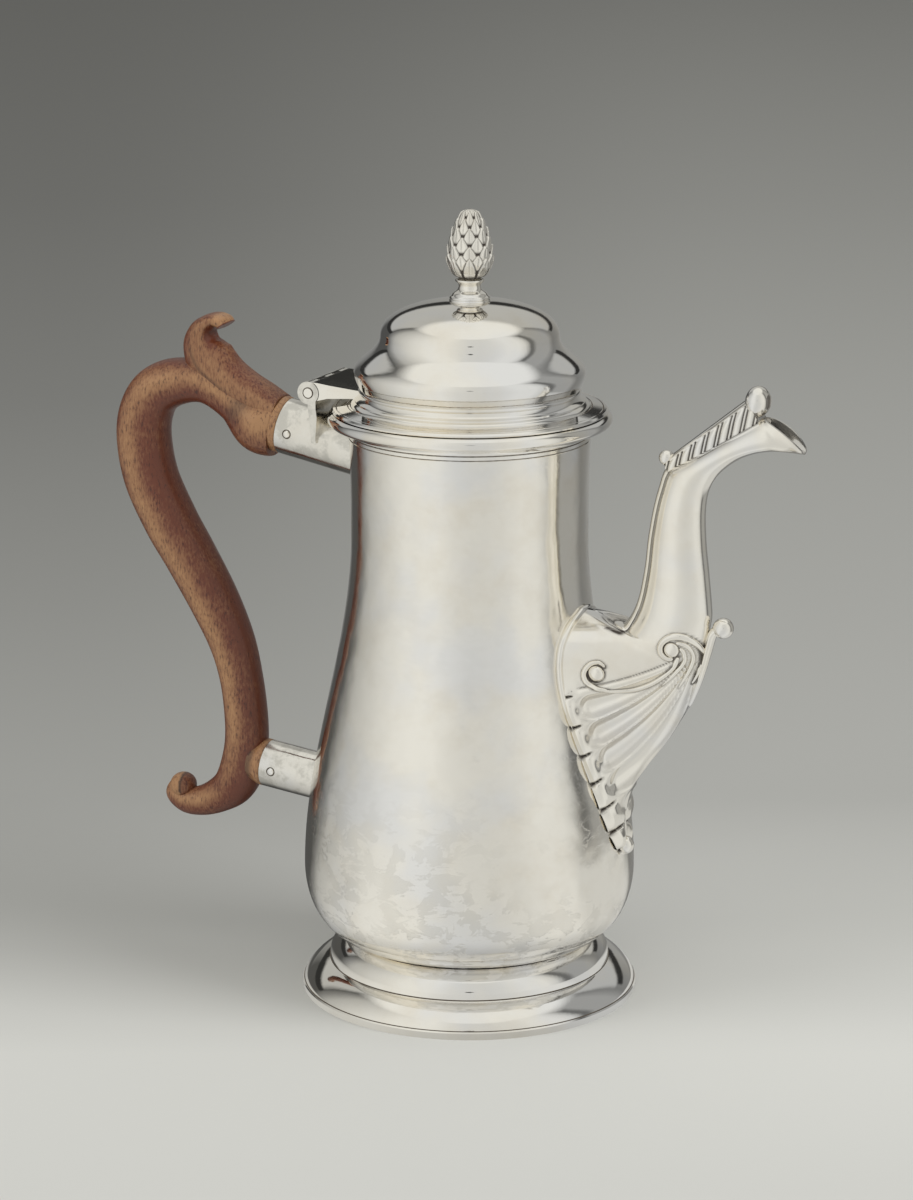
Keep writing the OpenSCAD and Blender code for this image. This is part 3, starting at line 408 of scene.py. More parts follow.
def hammer_marks(tree, where, broad, height):
    # the belly keeps the marks of the planishing hammer as ragged duller patches
    up = add(tree, "ShaderNodeSeparateXYZ", {"Vector": where}).outputs["Z"]
    flat = add(tree, "ShaderNodeMapping", {"Vector": where, "Scale": HAMMER_FLATTEN})
    marks = noise(tree, flat.outputs["Vector"], 105.0, 9.0, 0.68, distortion=0.5)
    ragged = between(tree, marks, 0.495, 0.530)
    beaten = sums(tree, "MULTIPLY", between(tree, broad, 0.36, 0.56),
                  between(tree, up, height * 0.5, height, 1.0, 0.12))
    return ragged, beaten


print("silver tints:", 5)

# %% [markdown]
# Two things stop it from looking like a computer's chrome. Polishing leaves a haze of
# fine scratches, which is roughness that varies from place to place, and the hammer
# leaves shallow dents, which is a very low bump. One recipe with a few dials serves all
# the silver, so the hammered body, the worn sockets, the polished lid and the cast spout
# belong together.

# %% Make the silver finishes
GRIME_AND_SHADE_STRONG, GRIME_AND_SHADE_HIDES_METAL = 1.15, 0.85


def silver(name, haze=0.10, dents=0.0, dent_size=0.014, grime_and_shade=None, beaten_below=None,
           dull=0.0):
    material, tree = new_material(name)
    where = add(tree, "ShaderNodeTexCoord").outputs["Object"]
    cloud = noise(tree, where, 55.0, 6.0, 0.6)
    broad = noise(tree, where, 26.0, 3.0, 0.55)
    scratches = noise(tree, where, 900.0, 3.0, 0.6)
    tint = clouded_silver(tree, cloud, broad)
    if dull:
        tint = handled(tree, where, tint, dull)
    if beaten_below:
        ragged, beaten = hammer_marks(tree, where, broad, beaten_below)
        share = sums(tree, "MULTIPLY", ragged, sums(tree, "MULTIPLY", beaten, 0.34))
        tint = blend(tree, share, tint, SILVER_DULL)
    metallic = 1.0
    # the groove number paints old polish and shade: darker, and partly not metal
    if grime_and_shade:
        mark = sums(tree, "MULTIPLY", stored(tree, grime_and_shade), GRIME_AND_SHADE_STRONG, clamp=True)
        tint = blend(tree, mark, tint, SILVER_GRIME_AND_SHADE)
        metallic = sums(tree, "SUBTRACT", 1.0,
                        sums(tree, "MULTIPLY", mark, GRIME_AND_SHADE_HIDES_METAL))
    rough = sums(tree, "ADD", between(tree, cloud, 0.35, 0.7, haze * 0.6, haze * 1.5),
                 between(tree, scratches, 0.5, 0.8, 0.0, haze * 0.5))
    normal = bumped(tree, scratches, 0.04, 0.0002)
    if dents:
        wave = noise(tree, where, 1.0 / dent_size, 1.5, 0.5)
        normal = bumped(tree, wave, dents, 0.001, normal)
    if beaten_below:
        normal = bumped(tree, ragged, sums(tree, "MULTIPLY", beaten, 0.5), 0.00012, normal)
    metal = add(tree, "ShaderNodeBsdfPrincipled",
                {"Base Color": tint, "Metallic": metallic, "Roughness": rough,
                 "Normal": normal})
    add(tree, "ShaderNodeOutputMaterial", {"Surface": metal.outputs["BSDF"]})
    return material


HAMMERED = silver("silver_hammered", haze=0.13, dents=0.40, beaten_below=0.088)
HANDLED = silver("silver_handled", haze=0.15, dents=0.22, dent_size=0.009, dull=0.95)
POLISHED = silver("silver_polished", haze=0.06, dents=0.12, dent_size=0.02)
CAST = silver("silver_cast", haze=0.11, dents=0.06, dent_size=0.01)
CAST_GRIMED_AND_SHADED = silver("silver_cast_grime_and_painted_shade", haze=0.12, dents=0.05, dent_size=0.008, grime_and_shade="groove")
print("silver:", [m.name for m in (HAMMERED, HANDLED, POLISHED, CAST, CAST_GRIMED_AND_SHADED)])

# %% [markdown]
# The lines of dried polish in the seams are a material of their own. It is a brown-black
# paste, matt and speckled.

# %% Make the grime
GRIME_DARK, GRIME_PALE = (0.05, 0.04, 0.03, 1), (0.13, 0.10, 0.07, 1)
GRIME, tree = new_material("seam_grime")
speck = add(tree, "ShaderNodeTexNoise", {"Scale": 900.0, "Detail": 3.0}).outputs["Fac"]
paste = add(tree, "ShaderNodeBsdfPrincipled",
            {"Base Color": blend(tree, speck, GRIME_DARK, GRIME_PALE),
             "Roughness": between(tree, speck, 0.3, 0.7, 0.45, 0.75)})
add(tree, "ShaderNodeOutputMaterial", {"Surface": paste.outputs["BSDF"]})
print("grime:", GRIME.name)

# %% [markdown]
# ## Wood
#
# The handle is fruitwood, stained dark red-brown and then worn by hands. The stain stays
# in the hollows, and the raised places have gone back to tan. The grain shows as short
# fine streaks, and old wax leaves a soft shine. Two numbers stored on the mesh say where
# the wood is worn, which also paints a tan highlight on the grip, and where a crack or a
# corner is dark.

# %% Make the wood
WOOD_DARK = (0.030, 0.013, 0.009, 1.0)
WOOD_RED = (0.135, 0.034, 0.015, 1.0)
WOOD_TAN = (0.395, 0.210, 0.098, 1.0)
GRAIN_STRETCH = (1.0, 1.0, 0.3)
PORES_DARK, CRACKS_DARK = 0.65, 0.9


def wood(name):
    material, tree = new_material(name)
    where = add(tree, "ShaderNodeTexCoord").outputs["Object"]
    cloud = noise(tree, where, 70.0, 5.0, 0.6)
    along = add(tree, "ShaderNodeMapping", {"Vector": where, "Scale": GRAIN_STRETCH})
    grain = noise(tree, along.outputs["Vector"], 1500.0, 4.0, 0.65)
    # the border of the worn and painted-highlight places is broken up by the clouds and the
    # grain
    wear_and_highlight = sums(tree, "ADD", stored(tree, "wear_and_highlight"), between(tree, cloud, 0.3, 0.7, -0.16, 0.16))
    wear_and_highlight = sums(tree, "ADD", wear_and_highlight, between(tree, grain, 0.35, 0.65, -0.20, 0.20))
    tint = blend(tree, between(tree, wear_and_highlight, 0.12, 1.15, smooth=False), WOOD_RED, WOOD_TAN)
    tint = blend(tree, between(tree, grain, 0.32, 0.45, PORES_DARK, 0.0), tint, WOOD_DARK)
    cracks = sums(tree, "MULTIPLY", stored(tree, "groove"), CRACKS_DARK, clamp=True)
    tint = blend(tree, cracks, tint, WOOD_DARK)
    normal = bumped(tree, cloud, 0.35, 0.0012, bumped(tree, grain, 0.30, 0.0003))
    body = add(tree, "ShaderNodeBsdfPrincipled",
               {"Base Color": tint, "Normal": normal,
                "Roughness": between(tree, cloud, 0.3, 0.7, 0.34, 0.50),
                "Specular IOR Level": 0.35, "Coat Weight": 0.4, "Coat Roughness": 0.24})
    add(tree, "ShaderNodeOutputMaterial", {"Surface": body.outputs["BSDF"]})
    return material


WOOD = wood("handle_wood")
print("wood:", WOOD.name)

# %% [markdown]
# ## Turned pieces
#
# The body, the lid and the foot were raised from sheet and turned true on a lathe, so
# their light runs in clean unbroken rings. Their CAD meshes are made of thin triangles
# whose corners don't share a point, and each facet would show in so bright a metal. One
# small modifier cures it: it welds the corners, then keeps an edge sharp only where it
# turns by more than 28 degrees, as a real moulding does. The mesh itself stays as it is.

# %% Even out the normals of the turned pieces
WELD = 1e-6
SHARP_TURN = math.radians(28)


def smoother():
    group = bpy.data.node_groups.new("smooth_turning", "GeometryNodeTree")
    for way in ("INPUT", "OUTPUT"):
        group.interface.new_socket("Geometry", in_out=way, socket_type="NodeSocketGeometry")
    start = add(group, "NodeGroupInput")
    weld = add(group, "GeometryNodeMergeByDistance",
               {"Geometry": start.outputs[0], "Distance": WELD})
    angle = add(group, "GeometryNodeInputMeshEdgeAngle")
    sharp = add(group, "FunctionNodeCompare",
                {0: angle.outputs["Unsigned Angle"], 1: SHARP_TURN},
                data_type="FLOAT", operation="GREATER_THAN")
    normal = add(group, "GeometryNodeSetMeshNormal",
                 {"Mesh": weld.outputs[0], "Remove Custom": True,
                  "Edge Sharpness": sharp.outputs[0]}, mode="SHARPNESS")
    add(group, "NodeGroupOutput", {0: normal.outputs[0]})
    return group


SMOOTH = smoother()
print("modifier:", SMOOTH.name)

# %% [markdown]
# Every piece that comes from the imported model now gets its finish. The raised body shows
# its hammer marks, the sockets and the hinge are dulled by the hand that holds them, and
# what came off the lathe is polished. The cast pieces are dressed here too, although
# finer ones will stand in for most of them below.

# %% Give the carried-over pieces their finish
NODE_FINISH = [
    (HAMMERED, ["body_shell"]),
    (HANDLED, ["upper_socket", "lower_socket", "hinge_stand"]),
    (POLISHED, ["body_rim", "foot", "foot_rim", "lid_dome", "lid_flange", "lid_bezel",
                "upper_socket_pin", "lower_socket_pin", "hinge_pin", "lid_hinge_leaf",
                "finial_washer", "finial_nut"]),
    (CAST, ["spout_half_left", "spout_half_right", "spout_back_rib", "spout_crest",
            "spout_front_scroll", "spout_tail_drop", "finial"]),
    (WOOD, ["handle"])]
for material, names in NODE_FINISH:
    for name in names:
        piece = NODES[name]
        for slot in piece.material_slots:
            slot.material = material
        piece.modifiers.new("smooth_turning", "NODES").node_group = SMOOTH
    print(material.name, "on", len(names), "pieces")

# %% [markdown]
# ## The cast spout
#
# The spout was cast in two halves and soldered along the middle. Its shape is a row of
# cross-sections. The lower ones stand on the body, from the point under the shell up to
# the saddle, and the upper ones follow the neck to the beak. The tables give a few
# sections in millimetres, and everything else is worked out from them.

# %% Sections of the spout
# radius and height where the body is widest, where it is narrowest, and at its mouth
BELLY = (56.7, 44.0)
NECK = (40.0, 160.0)
MOUTH = (41.0, 201.9)

# height at the wall, half width there, height at the front, reach of the front, swell
SPOUT_ROOT = [
    (54.0, 1.5, 54.0, 1.2, 0.5), (58.0, 5.5, 58.5, 1.8, 1.7), (66.0, 10.0, 67.0, 2.6, 3.1),
    (75.0, 13.0, 76.5, 6.0, 4.5), (84.0, 15.2, 86.3, 13.8, 6.2), (93.0, 17.0, 95.3, 22.3, 7.7),
    (101.0, 18.4, 102.5, 28.2, 8.8), (109.0, 19.4, 107.8, 32.1, 9.4),
    (117.0, 19.4, 111.8, 34.7, 9.6), (124.0, 18.2, 115.0, 36.6, 9.6),
    (130.0, 15.4, 118.0, 38.1, 9.5), (135.0, 9.9, 120.5, 39.2, 9.4),
    (138.0, 2.6, 122.5, 40.0, 9.3)]
# back point (out, up), front point (out, up), half width of the open lip, swell
SPOUT_NECK = [
    (5.7, 137.4, 42.7, 124.8, 0, 9.2), (11.2, 134.7, 43.2, 127.6, 0, 9.1),
    (15.0, 133.7, 43.9, 131.2, 0, 9.0), (17.6, 136.3, 44.8, 135.7, 0, 8.8),
    (19.6, 140.0, 45.4, 139.6, 0, 8.5), (21.0, 144.0, 45.2, 143.4, 0, 8.3),
    (22.0, 148.5, 44.8, 147.6, 0, 8.1), (23.2, 156.0, 44.0, 155.0, 0, 7.7),
    (24.1, 165.0, 42.9, 164.5, 0, 7.4),
    (25.7, 174.5, 42.5, 174.5, 0, 7.0), (27.6, 182.0, 43.4, 181.5, 0, 6.8),
    (29.9, 188.2, 46.0, 186.8, 0, 6.6), (35.2, 191.7, 50.2, 191.0, 0, 6.3),
    (42.0, 196.0, 55.0, 194.2, 0, 6.0), (49.0, 200.4, 60.2, 196.3, 0, 5.8),
    (56.0, 204.8, 65.0, 197.3, 0, 5.6), (61.4, 208.0, 68.4, 197.5, 0.6, 5.6),
    (64.4, 207.6, 70.6, 197.5, 3.8, 4.5), (69.0, 205.2, 73.0, 197.4, 4.8, 3.5),
    (73.4, 201.8, 75.0, 197.3, 4.2, 2.8), (76.0, 198.9, 76.4, 197.3, 2.8, 1.8)]
ROOT_RINGS, NECK_RINGS, SPOUT_SIDES = 16, 5, 80
print("sections given:", len(SPOUT_ROOT), "and", len(SPOUT_NECK))

# %% [markdown]
# A smooth curve through the rows gives as many sections as the surface needs, so the same
# short table serves for a coarse look or a fine one. The lower sections are then laid
# back on the body, so the casting stays in touch with the sheet it is soldered to.

# %% Run a curve through the sections
def body_radius(z):
    z = np.asarray(z, float)
    t = np.clip((NECK[1] - z) / (NECK[1] - BELLY[1]), 0, 1)
    side = NECK[0] + (BELLY[0] - NECK[0]) * t * t * (3 - 2 * t)
    top = (MOUTH[0] - NECK[0]) * (np.maximum(z - NECK[1], 0) / (MOUTH[1] - NECK[1])) ** 3
    return side + top


SADDLE = float(body_radius(137.5))


def through(rows, s):
    rows = np.asarray(rows, float)
    s = np.clip(np.asarray(s, float), 0, len(rows) - 1)
    i = np.minimum(s.astype(int), len(rows) - 2)
    t = (s - i)[:, None]
    a, b = rows[np.maximum(i - 1, 0)], rows[i]
    c, d = rows[i + 1], rows[np.minimum(i + 2, len(rows) - 1)]
    return 0.5 * (2 * b + (c - a) * t + (2 * a - 5 * b + 4 * c - d) * t * t
                  + (3 * b - a - 3 * c + d) * t ** 3)


def spout_rows():
    root = np.array([(math.sqrt(body_radius(z) ** 2 - w * w), w, z,
                      body_radius(zf) + reach, zf, swell)
                     for z, w, zf, reach, swell in SPOUT_ROOT])
    neck = np.array([(SADDLE + a, lip, b, SADDLE + c, d, swell)
                     for a, b, c, d, lip, swell in SPOUT_NECK])
    rows = np.vstack([root, neck])
    joint = len(root) - 1
    upper = np.linspace(joint, len(rows) - 1, len(neck) * NECK_RINGS + 1)
    s = np.concatenate([np.linspace(0, joint, joint * ROOT_RINGS + 1), upper[1:]])
    out = through(rows, s)
    lower = s <= joint
    out[lower, 0] = np.sqrt(body_radius(out[lower, 2]) ** 2 - out[lower, 1] ** 2)
    return out, s, joint


ROWS, ROW_S, ROOT_END = spout_rows()
print("spout sections:", len(ROWS))

# %% [markdown]
# The shell is a fan of hollow flutes. Their ribs leave one focus beside the volute and
# wind round as they run out to the body, so a rib is a line where a "flute number",
# worked out from angle and distance, is whole. Each flute is a little wider than the one
# below it. The fan ends above in a top rib, and beyond that the bulb is plain.

# %% Number the flutes
FAN = (SADDLE + 41.5, 132.0)
FAN_TWIST = 0.38                # degrees for each millimetre from the focus
FLUTE_WIDE, FLUTE_GROWTH = 8.0, 1.8     # degrees
TOP_RIB, FIRST_FLUTE = 4.0, -1.9


def ease(v):
    v = np.clip(v, 0, 1)
    return v * v * (3 - 2 * v)


def ridge(off, wide):
    return np.exp(-(off / wide) ** 2)


def flute_number(x, z):
    dx, dz = FAN[0] - x, FAN[1] - z
    far = np.hypot(dx, dz)
    straight = 1 - 0.8 * np.exp(-far / 9)
    turn = np.degrees(np.arctan2(dx, dz)) / straight - FAN_TWIST * far - 1
    root = np.sqrt(np.maximum(FLUTE_WIDE ** 2 + 2 * FLUTE_GROWTH * turn, 0))
    number = (root - FLUTE_WIDE) / FLUTE_GROWTH
    spread = far * np.radians(FLUTE_WIDE + FLUTE_GROWTH * np.maximum(number, -1.5))
    return number, far, spread


print("flutes from the focus, 25 mm down:",
      round(float(flute_number(FAN[0], FAN[1] - 25.0)[0]), 2))

# %% [markdown]
# Between two ribs the metal is scooped out with a spoon's rounded end, and the outer edge
# is a chain of small pillows with a crease between each two. The relief is a height for
# every point of the surface. The same lines say where the colour is painted dark: old
# polish and shade in the creases, along the top rib and round each scoop, and painted
# shade on the lower wall of each scoop.

# %% The relief of the shell
RAISED = 0.9            # the shell stands this far above the plain bulb
EDGE_BAND = 3.3         # width of the chain of pillows
SCOOP_DEEPEST = 2.4
BULB_FROM = 5.5         # the step down to the bulb dies away this near the edge


def scoop_of(number, far, spread, from_edge):
    share = number - np.floor(number)
    round_end = 1 - np.sqrt(np.maximum(1 - (2 * share - 1) ** 2, 0))
    past_band = from_edge - EDGE_BAND - 0.5 * spread * round_end
    scoop = ease(past_band / 4.2) * np.sin(np.pi * share) ** 0.85
    scoop *= ease((TOP_RIB - number) / 0.06) * ease((number - FIRST_FLUTE) / 0.3)
    return scoop * ease((far - 3) / 5), past_band


def level_of(number, far, over, from_edge):
    # the raised level, and the step down to the plain bulb above the top rib
    crisp_here = ease((from_edge - BULB_FROM) / 2.5)
    soft, crisp = ease(over / 8.0), ease((over - 1.9) / 0.8)
    above = soft + (crisp - soft) * crisp_here
    top_rib = np.sin(np.pi * np.clip(over / 2.2, 0, 1)) * crisp_here * ease((far - 4) / 4)
    return (RAISED * (1 - above) * ease((far - 4) / 5)
            + 0.5 * ease((number - 3.9) / 0.1) * (1 - above) * top_rib)


def shell_relief(x, z, from_edge):
    number, far, spread = flute_number(x, z)
    share = number - np.floor(number)
    over = (number - TOP_RIB) * spread
    scoop, past_band = scoop_of(number, far, spread, from_edge)
    level = level_of(number, far, over, from_edge)
    in_fan, started = ease((4.3 - number) / 0.3), ease((number - FIRST_FLUTE) / 0.3)
    arch = np.sin(np.pi * share) ** 0.7
    pillow = (0.35 + 0.65 * ease(from_edge / 1.6)) * (
        0.7 + 1.7 * arch * ease((EDGE_BAND + 1.5 - from_edge) / 2.5) * in_fan)
    off_rib = np.minimum(share, 1 - share) * spread
    crease = ridge(off_rib, 0.38 + 0.5 * ease((1.8 - from_edge) / 1.8))
    crease *= ease((EDGE_BAND + 1.4 - from_edge) / 1.8) * ease((4.4 - number) / 0.3)
    line = ridge(over - 2.6, 0.3) * ease((far - 7) / 5) * ease((from_edge - BULB_FROM) / 2)
    depth = np.minimum(0.26 * spread, SCOOP_DEEPEST)
    height = level * pillow - (level * 0.6 + depth) * scoop - crease - 0.3 * line
    rim = ridge(past_band - 0.6, 0.9) * ease((TOP_RIB - number) / 0.06) * started
    # painted shade on the scoop walls, strongest on the lower wall; old polish and shade in the
    # creases, the top rib line and the scoop rims
    wall_side = ease((scoop - 0.08) / 0.3) * ease((0.95 - scoop) / 0.35)
    lower_side = ease((0.45 - share) / 0.2)
    grime_and_shade = (1.1 * crease + 0.8 * line + 0.16 * rim
            + (0.06 + 0.20 * lower_side) * wall_side)
    return height, np.clip(grime_and_shade, 0, 1)


print("relief in mm, raised and scooped:", RAISED, SCOOP_DEEPEST)

# %% [markdown]
# ## A grid becomes a mesh
#
# Most pieces below are grids: one loop of points for each section, joined to the next.
# One helper writes down the faces between the loops, and another makes the mesh, gives
# it its finish and keeps an edge sharp only where the surface turns strongly.

# %% Mesh helpers
SAME_POINT = 2e-6       # metres


def grid_faces(rings, count, first=0, closed=False):
    i, j = np.meshgrid(np.arange(rings - 1), np.arange(count - (0 if closed else 1)),
                       indexing="ij")
    a = i * count + j
    b = i * count + (j + 1) % count
    return (np.stack([a, b, b + count, a + count], -1) + first).reshape(-1, 4)


def make_mesh(name, points, faces, material, groove=None, sharp=40.0):
    mesh = bpy.data.meshes.new(name)
    mesh.from_pydata([tuple(p) for p in np.asarray(points) * MM], [],
                     [tuple(int(v) for v in f) for f in faces])
    if groove is not None:
        layer = mesh.attributes.new("groove", "FLOAT", "POINT")
        layer.data.foreach_set("value", np.asarray(groove, np.float32))
    mesh.validate()
    mesh.materials.append(material)
    piece = bpy.data.objects.new(name, mesh)
    bpy.context.scene.collection.objects.link(piece)
    clean = bmesh.new()
    clean.from_mesh(mesh)
    bmesh.ops.remove_doubles(clean, verts=clean.verts, dist=SAME_POINT)
    bmesh.ops.recalc_face_normals(clean, faces=clean.faces)
    clean.to_mesh(mesh)
    clean.free()
    mesh.shade_smooth()
    mesh.set_sharp_from_angle(angle=math.radians(sharp))
    return piece


print("mesh helpers ready")

# %% [markdown]
# The spout's grid is laid out for one half only, once for the outer skin and once for the
# channel inside it. The channel keeps clear of the bottoms of the flutes. The relief then
# pushes the outer points along the section's own normal.

# %% Lay out one half of the spout
SPOUT_WALL = 1.1
FLUTE_DEEP = 2.2
LIP_OPEN = 0.5          # a back edge narrower than this closes the section


def half_points(rows, inner):
    a = np.pi * np.arange(SPOUT_SIDES + 1) / SPOUT_SIDES
    dx, dz = rows[:, 3] - rows[:, 0], rows[:, 4] - rows[:, 2]
    length = np.hypot(dx, dz)
    under = FLUTE_DEEP * np.clip((ROOT_END + 2 - ROW_S) / 3, 0, 1)
    wall = SPOUT_WALL + under if inner else np.zeros(len(rows))
    front_gap = np.minimum(wall, length / 3)
    back_gap = np.where(rows[:, 1] > LIP_OPEN, 0, front_gap)
    m = (back_gap[:, None]
         + (length - back_gap - front_gap)[:, None] * ((1 - np.cos(a)) / 2)[None])
    y = np.hypot(rows[:, 1][:, None] * (1 + np.cos(a))[None] / 2,
                 rows[:, 5][:, None] * np.sin(a)[None])
    if inner:
        widest = y.max(1, keepdims=True)
        y = y * np.maximum(1 - wall[:, None] / np.maximum(widest, 0.01), 0.35)
    x = rows[:, 0][:, None] + dx[:, None] * m / length[:, None]
    z = rows[:, 2][:, None] + dz[:, None] * m / length[:, None]
    return x, np.maximum(y, 0), z, m


def outer_points():
    x, y, z, m = half_points(ROWS, False)
    on_root = ease((ROOT_END + 4.5 - ROW_S) / 2)[:, None]
    height, grime_and_shade = shell_relief(x, z, m)
    shown = ease(y / 2.2) * on_root
    push = height * shown
    slope = np.gradient(y, axis=1) / np.maximum(np.abs(np.gradient(m, axis=1)), 1e-4)
    lean = np.clip(slope, -1.5, 1.5)
    scale = 1 / np.sqrt(1 + lean ** 2)
    along = np.stack([ROWS[:, 3] - ROWS[:, 0], ROWS[:, 4] - ROWS[:, 2]], 1)
    along /= np.linalg.norm(along, axis=1, keepdims=True)
    y = y + push * scale
    x = x - push * lean * scale * along[:, :1]
    z = z - push * lean * scale * along[:, 1:]
    return x, y, z, grime_and_shade * shown


print("points in one half:", ROWS.shape[0] * (SPOUT_SIDES + 1))

# %% [markdown]
# The other half is the mirror image, so the two sides match as castings from one mould
# do. The two skins are joined by a rim along both edges of the walls and by one across
# the beak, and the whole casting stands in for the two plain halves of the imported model.

# %% Build the spout
SKIN_GREY = 0.26        # the channel is never polished


def both_halves(x, y, z):
    near = np.stack([x, -y, z], -1)
    far = np.stack([x, y, z], -1)[:, ::-1][:, 1:]
    return np.concatenate([near, far], 1)


def build_spout():
    x, y, z, grime_and_shade = outer_points()
    xi, yi, zi, _ = half_points(ROWS, True)
    closed = ROWS[:, 1] < LIP_OPEN
    for half in (y, yi):
        half[closed, 0] = 0
        half[:, -1] = 0
    outer, inner = both_halves(x, y, z), both_halves(xi, yi, zi)
    rings, count = outer.shape[:2]
    size = rings * count
    points = np.concatenate([outer.reshape(-1, 3), inner.reshape(-1, 3)])
    faces = [grid_faces(rings, count), grid_faces(rings, count, size)[:, ::-1]]
    i, j = np.arange(rings - 1), np.arange(count - 1)
    for side in (0, count - 1):
        a, b = i * count + side, (i + 1) * count + side
        strip = np.stack([a, b, b + size, a + size], -1)
        faces.append(strip if side else strip[:, ::-1])
    for ring in (0, rings - 1):
        a, b = ring * count + j, ring * count + j + 1
        strip = np.stack([a, a + size, b + size, b], -1)
        faces.append(strip if ring else strip[:, ::-1])
    groove = np.full(len(points), SKIN_GREY)
    groove[:size] = np.concatenate([grime_and_shade, grime_and_shade[:, ::-1][:, 1:]], 1).reshape(-1)
    return make_mesh("spout_casting", points, np.concatenate(faces), CAST_GRIMED_AND_SHADED, groove, 50)


spout = build_spout()
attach(spout, "pot")
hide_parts("spout_half_left", "spout_half_right")
print("spout:", len(spout.data.vertices), "points")

# %% [markdown]
# ## Strips, beads and the volute
#
# The rest of the spout's ornament was modelled as strips and beads laid on the casting.
# Two kinds of grid make them all. A strip is a round or flattened wire swept along a
# line, with ends that can be rounded off, and a bead is a profile turned round an axis.

# %% Helpers for strips and turned pieces
UPRIGHT = Matrix.Identity(3)


def refine(rows, steps):
    return through(rows, np.linspace(0, len(rows) - 1, (len(rows) - 1) * steps + 1))


def circle(count):
    return np.linspace(0, math.tau, count, endpoint=False)


def directions(path):
    along = np.gradient(path, axis=0)
    return along / np.linalg.norm(along, axis=1, keepdims=True)


def loft(name, rings, material, caps=True, groove=None, sharp=50):
    rings = np.asarray(rings, float)
    count, around = rings.shape[:2]
    faces = [list(f) for f in grid_faces(count, around, closed=True)]
    if caps:
        faces += [list(range(around))[::-1],
                  list(range((count - 1) * around, count * around))]
    return make_mesh(name, rings.reshape(-1, 3), faces, material, groove, sharp)


def wire(centres, radii, around=20, flat=1.0):
    centres, radii = np.asarray(centres, float), np.asarray(radii, float)
    along = directions(centres)
    side = np.cross(along, [0.0, 1.0, 0.0])
    side /= np.linalg.norm(side, axis=1, keepdims=True)
    out = np.cross(along, side)
    a = circle(around)
    return (centres[:, None] + radii[:, None, None]
            * (np.cos(a)[None, :, None] * side[:, None]
               + flat * np.sin(a)[None, :, None] * out[:, None]))


def round_ends(radii, ends=(True, True), steps=4):
    radii = np.array(radii, float)
    for i in range(steps):
        share = math.sqrt(1 - (1 - (i + 0.15) / steps) ** 2)
        if ends[0]:
            radii[i] *= share
        if ends[1]:
            radii[-1 - i] *= share
    return radii


def turned(name, profile, centre, turn, material, around=64, groove=None):
    profile = np.asarray(profile, float)
    a = circle(around)
    rings = np.stack([profile[:, :1] * np.cos(a)[None], profile[:, :1] * np.sin(a)[None],
                      np.repeat(profile[:, 1:], around, 1)], -1)
    if groove is not None:
        groove = np.repeat(np.asarray(groove, float), around)
    piece = loft(name, rings, material, caps=False, groove=groove)
    piece.matrix_world = Matrix.Translation(Vector(centre) * MM) @ turn.to_4x4()
    return piece


def finish(piece, body, slot, *nodes):
    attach(piece, body)
    if nodes:
        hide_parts(*nodes)
    return piece


print("strip and bead helpers ready")

# %% [markdown]
# Each strip follows a few points given in the side view. A ray shot sideways finds where
# the casting's surface lies behind every point, and the wire is laid there half sunk, so
# it grows out of the surface as in a cast piece. The casting's "groove" number is raised
# beside each one, which paints old polish and shade where a strip meets the casting.

# %% Lay strips on the casting
BESIDE = -40.0          # the rays start this far out, in millimetres
SURFACE = BVHTree.FromPolygons([v.co for v in spout.data.vertices],
                               [tuple(p.vertices) for p in spout.data.polygons])


def mirrored(rings):
    return (np.asarray(rings) * [1, -1, 1])[:, ::-1]


def on_surface(x, z):
    start = Vector((x * MM, BESIDE * MM, z * MM))
    hit = SURFACE.ray_cast(start, Vector((0, 1, 0)))[0]
    return hit.y / MM if hit else 0.0


def shade_and_grime_beside(path, reach, strong=1.0):
    mesh = spout.data
    where = np.empty(len(mesh.vertices) * 3)
    mesh.vertices.foreach_get("co", where)
    where = where.reshape(-1, 3)[:, ::2] / MM
    marks = np.empty(len(mesh.vertices), np.float32)
    mesh.attributes["groove"].data.foreach_get("value", marks)
    near = np.full(len(marks), np.inf)
    for x, z, r in path:
        near = np.minimum(near, np.hypot(where[:, 0] - x, where[:, 1] - z) - r)
    marks = np.maximum(marks, strong * ridge(np.maximum(near, 0), reach))
    mesh.attributes["groove"].data.foreach_set("value", marks.astype(np.float32))


def laid_strip(points, radii, proud=0.35, steps=8):
    rows = refine(np.column_stack([points, radii]), steps)
    depth = np.array([on_surface(x, z) for x, z, _ in rows])
    depth = np.convolve(np.pad(depth, 2, mode="edge"), np.ones(5) / 5, "valid")
    centres = np.column_stack([rows[:, 0], depth - rows[:, 2] * (proud - 0.5), rows[:, 1]])
    return centres, rows[:, 2]


print("casting's half width at the boss:", round(-on_surface(SADDLE + 10.9, 120.4), 1), "mm")

# %% [markdown]
# The crook is one strip that climbs the front of the fan, bends over the top of the
# volute and rolls up in a small flat disc. Thinner strips inside it carry the ribs round
# the bend. The boss where the top rib leaves the body is a smaller curl of the same kind.

# %% Volute and boss
S = SADDLE
